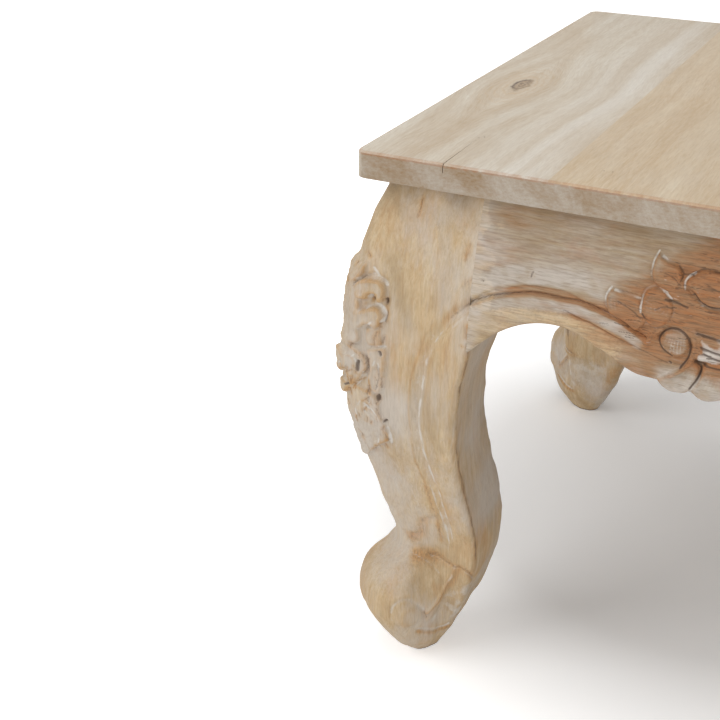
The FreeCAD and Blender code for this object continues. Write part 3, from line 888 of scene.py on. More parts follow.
def tube_mesh(name, points, masks):
    """Closed mesh from a grid whose columns form rings, with its ends capped."""
    row_count, column_count = points.shape[:2]
    faces = grid_quads(row_count, column_count).tolist()
    last = (row_count - 1) * column_count
    faces.append(list(range(column_count - 1, -1, -1)))
    faces.append(list(range(last, last + column_count)))
    mesh = bpy.data.meshes.new(name)
    mesh.from_pydata(points.reshape(-1, 3).tolist(), [], faces)
    for mask_name, values in masks.items():
        attribute = mesh.attributes.new(mask_name, "FLOAT", "POINT")
        attribute.data.foreach_set("value", np.ravel(values).astype(np.float32))
    outward(mesh)
    mesh.shade_smooth()
    mesh.set_sharp_from_angle(angle=carved_sharp_angle)
    return mesh


def outward(mesh):
    """Turn all faces of a closed mesh outwards."""
    work = bmesh.new()
    work.from_mesh(mesh)
    bmesh.ops.recalc_face_normals(work, faces=work.faces)
    work.to_mesh(mesh)
    work.free()


def linked(name, data):
    """New object in the scene."""
    piece = bpy.data.objects.new(name, data)
    bpy.context.scene.collection.objects.link(piece)
    return piece


def place_piece(name, mesh, material, nodes):
    """New piece at the origin that rides on the table and stands for its nodes."""
    piece = linked(name, mesh)
    mesh.materials.clear()
    mesh.materials.append(material)
    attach(piece, "root")
    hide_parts(*nodes)
    return piece


def quarter_turned(points, turns):
    """Points turned about the table's middle by quarter turns."""
    x, y = points[..., 0], points[..., 1]
    for _ in range(turns):
        x, y = -y, x
    return sheet(x, y, points[..., 2])


# Legs

def upright(place, other, low, high, lean):
    """Place on one axis, as if the inner face on that axis did not lean."""
    middle = (low + high) / 2
    face = high + lean * (high - other) / (high - low)
    return np.where(place > middle, (place - middle) * (high - middle) / (face - middle), place - middle)


def square_gap(x, y, low, high, radii, lean):
    """How far points lie outside the leg's square, with a radius for each kind of corner."""
    across = upright(x, y, low, high, lean)
    along = upright(y, x, low, high, lean)
    inner = np.where((across > 0) & (along > 0), radii[2], radii[1])
    radius = np.where((across < 0) & (along < 0), radii[0], inner)
    reach = (high - low) / 2 - radius
    out_x = np.abs(across) - reach
    out_y = np.abs(along) - reach
    outside = np.hypot(np.maximum(out_x, 0), np.maximum(out_y, 0))
    return np.minimum(np.maximum(out_x, out_y), 0) + outside - radius


def toe_gap(x, y, height, root):
    """How far points lie outside the scroll toe on the leg's diagonal."""
    rows = np.array(toe_section_shares)
    share = np.clip(height / toe_height, 0, 1)
    outer = toe_tip_inset + toe_depth * smooth_through(rows[:, 0], rows[:, 1], share)
    half_width = toe_half_width * smooth_through(rows[:, 0], rows[:, 2], share)
    across = (x - y) / math.sqrt(2)
    along = (x + y) / math.sqrt(2) - (outer + root) / 2
    half_depth = (root - outer) / 2
    radius = toe_corner_share * np.minimum(half_width, half_depth)
    out_x = np.abs(across) - half_width + radius
    out_y = np.abs(along) - half_depth + radius
    outside = np.hypot(np.maximum(out_x, 0), np.maximum(out_y, 0))
    gap = np.minimum(np.maximum(out_x, out_y), 0) + outside - radius
    return np.where(height < toe_height, gap, leg_reach)


def joined_gap(first, second, blend):
    """Union of two gaps with a small fillet."""
    part = np.clip(0.5 + 0.5 * (second - first) / blend, 0, 1)
    return second * (1 - part) + first * part - blend * part * (1 - part)


def leg_size(height, column):
    """Size of the legs' section at a height, by column."""
    rows = np.array(leg_section_shares)
    return smooth_through(rows[:, 0], rows[:, column], height / leg_height) * leg_square


def leg_columns():
    """Angles of the leg's columns, crowded at its outer and side corners."""
    angles = []
    outer = (leg_outer_columns, leg_crowding_share)
    inner = (leg_inner_columns, leg_inner_crowding_share)
    for face, (count, crowding) in ((2, outer), (3, outer), (0, inner), (1, inner)):
        spread = np.arange(count) / count
        if face in (1, 2):
            back = 1 - spread
            places = 1 - 2 * ((1 - crowding) * back + crowding * back ** 2)
        else:
            places = 2 * ((1 - crowding) * spread + crowding * spread ** 2) - 1
        angles.append(face * math.pi / 2 + np.arctan(places))
    return np.concatenate(angles)


def leg_blank():
    """Grid of points on the uncarved front left leg, from the corner of the top."""
    zones = [np.linspace(low, high, count, endpoint=False) for low, high, count in leg_row_zones_mm]
    level = np.append(np.concatenate(zones) * mm, leg_height)[:, None]
    outer, inner, corner, side, lean = [leg_size(level, column) for column in (1, 2, 3, 4, 5)]
    radii = (corner, side, leg_inner_corner_share * leg_square)
    angles = leg_columns()[None, :]
    height = np.broadcast_to(level, (level.size, angles.size))
    centre = (outer + inner) / 2
    root = centre * math.sqrt(2)
    near = np.zeros(height.shape)
    far = np.full(height.shape, leg_reach)
    for _ in range(leg_halvings):
        middle = (near + far) / 2
        x = centre + middle * np.cos(angles)
        y = centre + middle * np.sin(angles)
        leg_gap = square_gap(x, y, outer, inner, radii, lean)
        gap = joined_gap(leg_gap, toe_gap(x, y, height, root), toe_blend)
        near = np.where(gap < 0, middle, near)
        far = np.where(gap < 0, far, middle)
    return sheet(x, y, height)


def seated(points):
    """Leg points kept in the table's box and cut square where the aprons seat."""
    height = points[..., 2]
    limit = np.where(height > leg_seat_share * leg_height, apron_shoulder, leg_reach)
    low = half_top + cad_box[0][0] + box_margin
    plan = [np.clip(points[..., axis], low, limit) for axis in (0, 1)]
    return np.stack([*plan, height], axis=-1)


def grid_normals(points):
    """Outward directions over a grid of rings."""
    around = np.roll(points, -1, axis=1) - np.roll(points, 1, axis=1)
    upward = np.gradient(points, axis=0)
    normal = np.cross(around, upward)
    return normal / np.linalg.norm(normal, axis=-1, keepdims=True)


def broken_wash(points, seed):
    """Uneven share of the white left in a cut."""
    return ease(broken_middle + broken_spread * wobble(points, broken_wave, seed))


def uneven_marks(points, waves, seed):
    """Unevenness left by the tools, from weighted waves."""
    return sum(weight * wobble(points, wave, seed + index) for index, (wave, weight) in enumerate(waves))


def hollow_mask(carved, wrap=False):
    """Mask of the carved height: 1 in hollows, -1 on edges."""
    return np.clip((soften(carved, hollow_passes, wrap) - carved) / hollow_full, -1, 1)


def strewn(draw, aside_mm, height_mm, turn, length_mm):
    """Middle of a mark set by chance, and half of it, turned from the level."""
    place = np.array([draw.uniform(*aside_mm), draw.uniform(*height_mm)])
    turned = draw.uniform(-turn, turn)
    return place, draw.uniform(*length_mm) / 2 * np.array([math.cos(turned), math.sin(turned)])


def knee_chips(relief, seed):
    """Short gouge marks, some white and some brown."""
    draw = np.random.default_rng(seed)
    for index in range(knee_chip_count):
        place, half = strewn(draw, *knee_chip_bounds_mm)
        chip = white_chip if index % white_chip_every == 0 else brown_chip
        relief.stroke((place - half[::-1], place + half[::-1]), chip)


def knee_relief(carving, aside, height, broken, seed):
    """Leaf, scrolls and bosses on the outer corner of the knee."""
    relief = Relief(np.abs(aside), height, carving, broken)
    for lift_mm, outline_mm in knee_lobes_mm:
        relief.lobe(lift_mm, outline_mm)
    for boss_mm in knee_bosses_mm:
        relief.boss(boss_mm)
    relief.height *= ramp(height / mm, knee_top_mm)
    relief.carve(knee_strokes)
    knee_chips(relief, seed)
    return relief


def bead_part(across, height):
    """Place across the bead's hollow: 0 at its outer side, 1 at its inner side."""
    sides = []
    for side_mm in (bead_inner_mm, bead_outer_mm):
        heights_mm, places_mm = np.array(side_mm).T
        at_mm = np.clip(height / mm, heights_mm[0], heights_mm[-1])
        sides.append(smooth_through(heights_mm, places_mm, at_mm) * mm)
    inner, outer = sides
    return (across - outer) / np.maximum(inner - outer, mm)


def face_relief(carving, across, height, broken):
    """Hollow beside the leg's inner edges, and streaks on its faces."""
    relief = Relief(across, height, carving, lifted(broken, least_streak_share))
    part = bead_part(across, height)

    def tint(band):
        return band.strength * bell(part - band.place, band.width)

    fade = zone(bead_zone_mm, up=height / mm)
    arch = ramp(height / mm, bead_arch_mm)
    below = 1 - arch
    hollow = np.where(part < 1, ease(bead_steepness * part), bell(part - 1, bead_inner_slope))
    relief.height -= carving.bead_depth * hollow * fade
    relief.dark = (tint(bead_shadow) * broken + tint(arch_shadow) * arch) * fade
    white = tint(bead_line) * below + tint(arch_line) * arch + tint(bead_wash) * below
    relief.pale = white * lifted(broken, least_bead_share) * fade
    relief.raw = (tint(bead_rub) * below + tint(arch_rub) * arch) * fade
    relief.carve(face_strokes)
    return relief


def toe_relief(carving, along, height, broken):
    """Eye, ridge and creases on the ends of the scroll toe."""
    relief = Relief(along, height, carving, lifted(broken, least_streak_share))
    eye_gap = np.hypot(along - toe_eye_mm[0] * mm, height - toe_eye_mm[1] * mm)
    relief.height += carving.eye_lift * ramp(eye_gap / mm, toe_eye_edge_mm)
    from_ridge = np.stack([along, height], axis=-1) / mm - toe_hollow_start_mm
    hollow = zone(toe_hollow_zone_mm, behind=from_ridge @ np.array(toe_hollow_direction), up=height / mm)
    relief.height -= carving.hollow_depth * hollow
    relief.pale = toe_hollow_pale_share * hollow * broken
    relief.carve(toe_strokes)
    return relief


def leg_arris(x, y, height):
    """Mask of the leg's side corners."""
    outer, inner = leg_size(height, 1), leg_size(height, 2)
    turn = outer + leg_size(height, 4)
    edge = inner + leg_size(height, 5)
    gap = np.minimum(np.hypot(x - edge, y - turn), np.hypot(y - edge, x - turn))
    return bell(gap, arris_width) * zone(arris_zone_mm, up=height / mm)


def leg_mesh(blank, carving, turns):
    """Carved mesh of one leg, by quarter turns from the front left one."""
    x, y, height = np.moveaxis(blank, -1, 0)
    height_mm = height / mm
    inward = np.maximum(x, y)
    normal = grid_normals(blank)
    normal_x, normal_y = normal[..., 0], normal[..., 1]
    corner_side = ramp(-(normal_x + normal_y), corner_side_shares)
    facing = ramp(-np.minimum(normal_x, normal_y), facing_shares)
    end_side = ramp(np.abs(normal_x - normal_y), end_side_shares)

    seed = 100 * turns
    warp = leg_warp * wobble(blank, slow_wave, seed + 1)
    broken = broken_wash(blank, seed + 2)
    knee_height = height + leg_warp * wobble(blank, slow_wave, seed + 3)
    knee = knee_relief(carving, (x - y) / math.sqrt(2) + warp, knee_height, broken, seed + 9)
    face = face_relief(carving, inward + warp, height, broken)
    toe = toe_relief(carving, (x + y) / math.sqrt(2) + warp, height, broken)
    carved_places = ((knee, corner_side), (face, facing), (toe, end_side * ramp(height_mm, toe_zone_mm)))

    leaf = ease(knee.height / leaf_rise) * corner_side
    chips = chip_height * wobble(blank, chip_wave, seed + 8, chip_waves) * leaf
    carved = chips + sum(relief.height * share for relief, share in carved_places)
    marks = carving.tool_marks * uneven_marks(blank, leg_mark_waves, seed + 4)
    seat_gap = np.where(height > leg_seat_share * leg_height, apron_shoulder - inward, leg_reach)
    fade = ease(height / leg_end_fade) * ease((leg_height - height) / leg_end_fade)
    carved = soften((carved + marks * ease(seat_gap / seat_fade)) * fade, 1, wrap=True)
    points = seated(blank + normal * carved[..., None])
    points[..., :2] -= half_top

    above_arch = ramp(height_mm, above_arch_mm) * facing
    seam = apron_shoulder - inward + leg_seam_waver * wobble(blank, slow_wave, seed + 6)
    smear = bell(seam, leg_smear_width) * above_arch
    joint_line = broken ** 2 * bell(apron_shoulder - inward, joint_line_width) * above_arch
    arris = leg_arris(x, y, height)
    # Painted contact shadow: a dark line along the floor
    contact_shadow = ramp(height_mm, contact_shadow_mm)
    # Painted shade: a soft shadow patch on the faces beside the knee leaf
    shade_line = smooth_line(face_shade_mm) * mm
    shade_patch = bell(line_distance(inward, height, shade_line), face_shade_width) * facing
    # Painted shade on the leg's upper end, under the top
    shade_top = ramp(height_mm, leg_shade_top_mm) * (1 + shade_waver * wobble(blank, slow_wave, seed + 10))
    low_wash = lifted(ramp(height_mm, low_wash_foot_mm), least_low_wash_share)
    low_wash *= ramp(height_mm, low_wash_top_mm)
    uneven_wash = wobble(blank, leg_wash_wave, seed + 7)
    chalk = (low_wash_share * low_wash + smear_share * smear + leaf_wash_share * leaf
             + uneven_wash_share * uneven_wash)

    def strongest(tint, *others):
        carvings = [getattr(relief, tint) * share for relief, share in carved_places]
        return np.maximum.reduce([*carvings, *others])

    worn_arris = arris_dark_share * arris * lifted(broken, least_arris_share)
    masks = {
        "dark": strongest("dark", joint_dark_share * joint_line, worn_arris, contact_shadow_share * contact_shadow),
        "pale": strongest("pale"),
        "raw": strongest("raw", arris),
        "chalk": np.clip(chalk, *leg_chalk_bounds),
        "hollow": hollow_mask(carved, wrap=True),
        # Painted shade: the leg's upper end under the top and a patch beside the knee leaf
        "dull": np.clip(shade_top_share * shade_top + shade_patch_share * shade_patch, 0, 1),
        "figure": lifted(ramp(np.maximum(normal_x, normal_y), inner_face_shares), least_figure_share),
        "shift": np.full(height.shape, leg_grain_shift + turns),
    }
    return tube_mesh("leg_" + quarter_names[turns], quarter_turned(points, turns), masks)


# Aprons

def apron_point(share):
    """Place and height on the apron from two shares."""
    return np.array([share[0] * half_span, leg_height - share[1] * apron_depth])


def arc_heights(u, points):
    """Heights of the lower side of an arc through three points."""
    (u_a, v_a), (u_b, v_b), (u_c, v_c) = points
    along_ab = (u_b ** 2 - u_a ** 2 + v_b ** 2 - v_a ** 2) / 2
    along_bc = (u_c ** 2 - u_b ** 2 + v_c ** 2 - v_b ** 2) / 2
    spread = (u_b - u_a) * (v_c - v_b) - (u_c - u_b) * (v_b - v_a)
    centre_u = (along_ab * (v_c - v_b) - along_bc * (v_b - v_a)) / spread
    centre_v = ((u_b - u_a) * along_bc - (u_c - u_b) * along_ab) / spread
    radius = math.hypot(u_a - centre_u, v_a - centre_v)
    return centre_v - np.sqrt(np.maximum(radius ** 2 - (u - centre_u) ** 2, 0))


def apron_lower_edge(u):
    """Height of the apron's lower edge at a distance from its middle."""
    arch = np.array([apron_point(share) for share in reversed(apron_edge_shares)])
    edge = smooth_through(arch[:, 0], arch[:, 1], np.maximum(u, arch[0, 0]))
    for shares in apron_lobe_shares:
        points = [apron_point(share) for share in shares]
        inside = (u <= points[0][0]) & (u >= points[2][0])
        edge = np.where(inside, arc_heights(u, points), edge)
    return edge


def flute_relief(relief):
    """Pale flutes across the middle, between the two volutes."""
    flutes = zone(flute_zone_mm, aside=relief.u / mm, up=relief.v / mm)
    relief.height = relief.height * (1 - flutes) + flute_lift * flutes
    relief.pale = np.maximum(relief.pale, flute_pale_share * flutes * relief.broken)


def volute_hatch(relief):
    """Fine crossed lines on the disc of the volute."""
    across_mm, up_mm = volute_mm
    for aside_mm in volute_hatch_mm:
        half_mm = math.sqrt(volute_hatch_reach_mm ** 2 - aside_mm ** 2)
        level = ((across_mm - half_mm, up_mm + aside_mm), (across_mm + half_mm, up_mm + aside_mm))
        upright_line = ((across_mm + aside_mm, up_mm - half_mm), (across_mm + aside_mm, up_mm + half_mm))
        for points_mm in (level, upright_line):
            relief.stroke(points_mm, hatch_line)


def apron_flecks(relief, seed):
    """Short dark fibres and small white chips where the wash is rubbed off."""
    draw = np.random.default_rng(seed)
    for index in range(apron_fleck_count):
        place, half = strewn(draw, *apron_fleck_bounds_mm)
        bare = float(rubbed_share(abs(place[0]) * mm, place[1] * mm))
        if index % white_fleck_every == 0:
            half = half * white_fleck_length_share
            mark = fleck._replace(pale=draw.uniform(*white_fleck_shares) * bare)
        else:
            mark = fleck._replace(dark=draw.uniform(*dark_fleck_shares) * bare)
        relief.stroke((place - half, place + half), mark)


def volute_gap(u, v):
    """Distance from the middle of the volute."""
    return np.hypot(u - volute_mm[0] * mm, v - volute_mm[1] * mm)


def apron_relief(carving, u, v, broken):
    """Grooves, leaves, volutes and flutes of the apron's face."""
    relief = Relief(u, v, carving, broken)
    for lift_mm, outline_mm in apron_lobes_mm:
        relief.lobe(lift_mm, outline_mm)
    disc = volute_lift * ramp(volute_gap(u, v) / mm, volute_edge_mm)
    relief.height = np.maximum(relief.height, disc)
    relief.stroke(volute_ring_mm, volute_bead)
    volute_hatch(relief)
    flute_relief(relief)
    relief.carve(apron_strokes)
    return relief


def rubbed_share(u, v):
    """How much of the wash is rubbed off the apron."""
    start, end = np.array(rubbed_line_mm) * mm
    step = (end - start) / np.linalg.norm(end - start)
    below = (v - start[1]) * step[0] - (u - start[0]) * step[1]
    return ramp(below / mm, rubbed_edge_mm) * ramp(u / mm, rubbed_reach_mm)


def apron_grid():
    """Places across the apron, its lower edge there, and the heights of its face."""
    plain_x = np.linspace(apron_carved_reach, half_span, apron_plain_columns + 1)
    carved_x = np.linspace(-apron_carved_reach, apron_carved_reach, apron_carved_columns + 1)[1:-1]
    x = np.concatenate([-plain_x[::-1], carved_x, plain_x])[:, None]
    low = apron_lower_edge(np.abs(x))
    height = low + (leg_height - low) * np.linspace(0, 1, apron_row_count)[None, :]
    return x, low, height


def apron_points(x, low, face):
    """Grid of points down the apron's back, under its edge and up its carved face."""
    front = face[:, :1, 1]
    under_part = np.linspace(0, 1, apron_under_rows + 2)[None, 1:-1]
    under_y = apron_back + (front - apron_back) * under_part
    back_z = leg_height + (low - leg_height) * np.linspace(0, 1, apron_back_rows)[None, :]
    return np.concatenate([sheet(x, apron_back, back_z), sheet(x, under_y, low), face], axis=1)


def apron_masks(relief, carved, u, flat, broken, seed):
    """Finish masks of the apron's face, with painted shade along its upper edge."""
    height = flat[..., 2]
    end_gap = half_span - np.abs(flat[..., 0])
    groove = np.array(apron_groove_mm[::-1]) * mm
    groove_height = smooth_through(groove[:, 0], groove[:, 1], np.clip(u, groove[0, 0], groove[-1, 0]))
    places_mm = {"up": height / mm, "aside": u / mm, "over": (height - groove_height) / mm}

    band = zone(band_zone_mm, **places_mm)
    ribbon = zone(ribbon_zone_mm, **places_mm) * lifted(ramp(u / mm, ribbon_fade_mm), least_ribbon_share)
    seam = end_gap + apron_seam_waver * wobble(flat, apron_seam_wave, seed + 6)
    volute = ramp(volute_gap(u, height) / mm, volute_chalk_mm)
    scallops = zone(scallop_zone_mm, **places_mm)
    chalk = (band_chalk_share * band + ribbon_chalk_share * ribbon
             + seam_chalk_share * bell(seam, apron_smear_width)
             + volute_chalk_share * volute + scallop_chalk_share * scallops)

    kin_edge_mm = end_gap / mm - kin_waver_mm * wobble(flat, kin_wave, seed + 7)
    kin = kin_share * zone(kin_zone_mm, **places_mm) * (1 - ribbon)
    rubbed = rubbed_share(u, height) * (1 - scallop_loss_share * ramp(height / mm, rubbed_foot_mm))
    rubbed = rubbed * (1 - under_loss_share * zone(under_zone_mm, **places_mm))
    joint_line = broken ** 2 * bell(end_gap, joint_line_width)
    return {
        "dark": np.maximum(relief.dark, joint_dark_share * joint_line),
        "pale": relief.pale,
        "raw": np.clip(np.maximum(relief.raw, rubbed) - chalk, 0, 1),
        "chalk": np.clip(chalk * (apron_chalk_least + apron_chalk_spread * broken), 0, 1),
        "hollow": hollow_mask(carved),
        "kin": np.maximum(kin, seam_kin_share * ramp(kin_edge_mm, kin_seam_mm)),
        # Painted shade on the apron's upper edge, under the top
        "dull": apron_shade_share * ramp(height / mm, apron_shade_top_mm),
    }


def apron_mesh(carving, turns):
    """Carved mesh of one apron, by quarter turns from the front one."""
    x, low, height = apron_grid()
    across = np.broadcast_to(x, height.shape)
    flat = sheet(x, 0, height)
    seed = 1000 + 100 * turns
    broken = broken_wash(flat, seed + 1)
    u = np.abs(x + apron_warp * wobble(flat, slow_wave, seed + 2))
    relief = apron_relief(carving, u, height + apron_warp * wobble(flat, slow_wave, seed + 3), broken)
    flecks = Relief(across, height, carving, np.ones(height.shape))
    apron_flecks(flecks, seed + 8)
    relief.height += flecks.height
    relief.dark = np.maximum(relief.dark, flecks.dark)
    relief.pale = np.maximum(relief.pale, flecks.pale)
    marks = carving.tool_marks * uneven_marks(flat, apron_mark_waves, seed + 4)
    end_fade = ease((half_span - np.abs(across)) / apron_end_fade)
    carved = soften(relief.height + marks * end_fade, 1) * ease((leg_height - height) / apron_top_fade)
    roll = np.maximum(carving.edge_roll - (height - low), 0)
    rolled = carving.edge_roll - np.sqrt(carving.edge_roll ** 2 - roll ** 2)
    front = leg_size(height, 1) - half_top - carved + rolled
    points = apron_points(x, low, sheet(x, front, height))

    plain = np.zeros((len(x), apron_back_rows + apron_under_rows))
    face_masks = apron_masks(relief, carved, u, flat, broken, seed)
    masks = {name: np.concatenate([plain, values], axis=1) for name, values in face_masks.items()}
    masks["figure"] = np.ones(points.shape[:2])
    masks["shift"] = np.full(points.shape[:2], apron_grain_shift + turns)
    return tube_mesh("apron_" + side_names[turns], quarter_turned(points, turns), masks)


# Boards of the top

def check_outline():
    """Plan of the end check, closing to a point."""
    front = np.array(check_front_mm) * mm
    end = np.array(check_end_mm) * mm
    side = np.array([check_width / 2, 0])
    mouth = front - np.array([0, check_overrun])
    bend = front + (end - front) * check_bend_share + side
    bend_side = side * check_bend_width_share
    return [mouth - side, mouth + side, bend + bend_side, end, bend - bend_side]


def pin_outline(place_mm):
    """Plan of a pin hole."""
    across, along = np.array(place_mm) * mm
    angles = [2 * math.pi * step / pin_sides for step in range(pin_sides)]
    return [(across + pin_radius * math.cos(angle), along + pin_radius * math.sin(angle)) for angle in angles]


def evaluated_mesh(piece):
    """Plain mesh of a piece with its modifiers applied."""
    depsgraph = bpy.context.evaluated_depsgraph_get()
    return bpy.data.meshes.new_from_object(piece.evaluated_get(depsgraph))


def cut_from(piece, outline, depth):
    """Cut a hole into the upper face of a board."""
    rings = [[(*corner, table_height + side * depth) for corner in outline] for side in (-1, 1)]
    cutter = linked("cutter", tube_mesh("cutter", np.array(rings), {}))
    modifier = piece.modifiers.new("cut", "BOOLEAN")
    modifier.operation = "DIFFERENCE"
    modifier.solver = "EXACT"
    modifier.object = cutter
    cut_mesh = evaluated_mesh(piece)
    piece.modifiers.remove(modifier)
    piece.data = cut_mesh
    bpy.data.objects.remove(cutter)


def board_mesh(name, boards):
    """Board with eased edges, rounded outer corners and a fine chamfer at its joints."""
    low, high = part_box(name)
    work = bmesh.new()
    bmesh.ops.create_cube(work, size=1)
    for vertex in work.verts:
        for axis in range(3):
            vertex.co[axis] = low[axis] if vertex.co[axis] < 0 else high[axis]
    arris = work.faces.layers.float.new("arris")

    def is_outer(vertex):
        return abs(abs(vertex.co.x) - half_top) < mm

    def is_along(edge, axis):
        return abs(edge.verts[0].co[axis] - edge.verts[1].co[axis]) > mm

    def is_joint(edge):
        return not any(is_outer(vertex) for vertex in edge.verts) and not is_along(edge, 0)

    def bevel(edges, radius, segments):
        return bmesh.ops.bevel(
            work, geom=edges, offset=radius, segments=segments, profile=0.5, affect="EDGES")

    uprights = [edge for edge in work.edges if is_along(edge, 2) and is_outer(edge.verts[0])]
    if uprights:
        bevel(uprights, boards.corner, corner_segments)
    top_edges = [edge for edge in work.edges if all(abs(vertex.co.z - high.z) < mm for vertex in edge.verts)]
    rim = [edge for edge in top_edges if not is_joint(edge)]
    joints = [edge for edge in work.edges if is_joint(edge) and not is_along(edge, 2)]
    for face in bevel(rim, boards.arris, arris_segments)["faces"]:
        face[arris] = 1
    joints = [edge for edge in joints if edge.is_valid]
    if joints:
        bevel(joints, boards.joint, joint_segments)
    bmesh.ops.recalc_face_normals(work, faces=work.faces)
    mesh = bpy.data.meshes.new(name)
    work.to_mesh(mesh)
    work.free()
    return mesh


# Pegs, dowels and screws

def islands(node):
    """Corners of each separate solid of a node, as arrays of points."""
    work = bmesh.new()
    work.from_mesh(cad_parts[node].data)
    bmesh.ops.remove_doubles(work, verts=work.verts, dist=merge_gap)
    left = set(work.verts)
    groups = []
    while left:
        waiting = [left.pop()]
        group = []
        while waiting:
            vertex = waiting.pop()
            group.append(tuple(vertex.co))
            for edge in vertex.link_edges:
                other = edge.other_vert(vertex)
                if other in left:
                    left.remove(other)
                    waiting.append(other)
        groups.append(np.array(group))
    work.free()
    return sorted(groups, key=lambda group: tuple(np.round(group.mean(0), 4)))


def aimed_points(node):
    """Wide end, direction, length and wide radius of each long solid of a node."""
    places = []
    for group in islands(node):
        low, high = group.min(0), group.max(0)
        axis = int(np.argmax(high - low))
        centre = (low + high) / 2
        radius = np.linalg.norm(np.delete(group - centre, axis, axis=1), axis=1)
        wide = group[radius > radius.max() - same_radius_gap][:, axis].mean()
        starts_low = abs(wide - low[axis]) <= abs(wide - high[axis])
        start = centre.copy()
        start[axis] = low[axis] if starts_low else high[axis]
        aim = np.zeros(3)
        aim[axis] = 1 if starts_low else -1
        places.append((start, aim, (high - low)[axis], radius.max()))
    return places


def fixing_tree(name, sizes, build):
    """Geometry tree that sets a fixing, built along +Z, on every point and aims it."""
    tree = bpy.data.node_groups.new(name, "GeometryNodeTree")
    tree.interface.new_socket("Points", in_out="INPUT", socket_type="NodeSocketGeometry")
    for label, size in sizes.items():
        socket = tree.interface.new_socket(label, in_out="INPUT", socket_type="NodeSocketFloat")
        socket.default_value = size
        socket.subtype = "DISTANCE"
    tree.interface.new_socket("Material", in_out="INPUT", socket_type="NodeSocketMaterial")
    tree.interface.new_socket("Fixings", in_out="OUTPUT", socket_type="NodeSocketGeometry")
    nodes = NodeTree(tree)
    entry = nodes.add("NodeGroupInput").outputs
    fixing = build(nodes, entry)
    aim = nodes.add("GeometryNodeInputNamedAttribute", {"Name": "aim"}, data_type="FLOAT_VECTOR")
    turn = nodes.add("FunctionNodeAlignRotationToVector", links={"Vector": aim.outputs[0]}, axis="Z")
    spread = nodes.add("GeometryNodeInstanceOnPoints", links={
        "Points": entry["Points"], "Instance": fixing, "Rotation": turn.outputs["Rotation"]})
    real = nodes.add("GeometryNodeRealizeInstances", links={"Geometry": spread.outputs["Instances"]})
    finish = nodes.add("GeometryNodeSetMaterial", links={
        "Geometry": real.outputs["Geometry"], "Material": entry["Material"]})
    nodes.add("NodeGroupOutput", links={"Fixings": finish.outputs["Geometry"]})
    return tree


def build_screw(nodes, entry):
    """Countersunk screw with a cross slot: head face at the point, shank along +Z."""
    head = nodes.add("GeometryNodeMeshCone", {"Vertices": screw_head_sides}, {
        "Radius Top": entry["Shank Radius"], "Radius Bottom": entry["Head Radius"],
        "Depth": entry["Head Height"]})
    head_end = nodes.add("ShaderNodeCombineXYZ", links={"Z": entry["Head Height"]})
    shank_length = nodes.reckon("SUBTRACT", entry["Length"], entry["Head Height"])
    tip_radius = nodes.times(entry["Shank Radius"], screw_tip_share)
    shank = nodes.add("GeometryNodeMeshCone", {"Vertices": screw_shank_sides}, {
        "Radius Bottom": entry["Shank Radius"], "Radius Top": tip_radius, "Depth": shank_length})
    shank_moved = nodes.add("GeometryNodeTransform", links={
        "Geometry": shank.outputs["Mesh"], "Translation": head_end.outputs[0]})
    slot_length = nodes.times(entry["Head Radius"], screw_slot_length_share)
    slot_width = nodes.times(entry["Head Radius"], screw_slot_width_share)
    cut = nodes.add("GeometryNodeMeshBoolean", links={"Mesh 1": head.outputs["Mesh"]}, operation="DIFFERENCE")
    for long_axis, short_axis in (("X", "Y"), ("Y", "X")):
        size = nodes.add("ShaderNodeCombineXYZ", links={
            long_axis: slot_length, short_axis: slot_width, "Z": entry["Head Height"]})
        bar = nodes.add("GeometryNodeMeshCube", links={"Size": size.outputs[0]})
        nodes.join(bar.outputs["Mesh"], cut.inputs["Mesh 2"])
    whole = nodes.add("GeometryNodeJoinGeometry")
    nodes.join(cut.outputs["Mesh"], whole.inputs["Geometry"])
    nodes.join(shank_moved.outputs["Geometry"], whole.inputs["Geometry"])
    return whole.outputs["Geometry"]


def build_peg(nodes, entry):
    """Round peg along +Z from the point, with a chamfer at both ends."""
    body = nodes.reckon("SUBTRACT", entry["Length"], nodes.times(entry["Chamfer"], 2.0))
    end_radius = nodes.reckon("SUBTRACT", entry["Radius"], entry["Chamfer"])
    end_share = nodes.reckon("DIVIDE", end_radius, entry["Radius"])
    shaft = nodes.add("GeometryNodeMeshCylinder", {"Vertices": peg_sides}, {
        "Radius": entry["Radius"], "Depth": body})
    mesh = shaft.outputs["Mesh"]
    for end in ("Top", "Bottom"):
        drawn = nodes.add("GeometryNodeExtrudeMesh", links={
            "Mesh": mesh, "Selection": shaft.outputs[end], "Offset Scale": entry["Chamfer"]}, mode="FACES")
        narrowed = nodes.add("GeometryNodeScaleElements", links={
            "Geometry": drawn.outputs["Mesh"], "Selection": drawn.outputs["Top"], "Scale": end_share})
        mesh = narrowed.outputs["Geometry"]
    offset = nodes.add("ShaderNodeCombineXYZ", links={"Z": nodes.reckon("DIVIDE", entry["Length"], 2.0)})
    moved = nodes.add("GeometryNodeTransform", links={"Geometry": mesh, "Translation": offset.outputs[0]})
    return moved.outputs["Geometry"]


def fixings(name, node, tree, sizes, material):
    """Piece made of one fixing on each solid of a node."""
    places = aimed_points(node)
    mesh = bpy.data.meshes.new(name)
    mesh.from_pydata([tuple(start) for start, *_ in places], [], [])
    aims = mesh.attributes.new("aim", "FLOAT_VECTOR", "POINT")
    aims.data.foreach_set("vector", np.array([aim for _, aim, *_ in places], np.float32).ravel())
    holder = linked(name + "_points", mesh)
    modifier = holder.modifiers.new("fixings", "NODES")
    modifier.node_group = tree
    values = {**sizes, "Length": float(places[0][2]), "Material": material}
    for item in tree.interface.items_tree:
        if item.in_out == "INPUT" and item.name in values:
            modifier[item.identifier] = values[item.name]
    result = evaluated_mesh(holder)
    bpy.data.objects.remove(holder)
    result.name = name
    return place_piece(name, result, material, [node])


# Materials

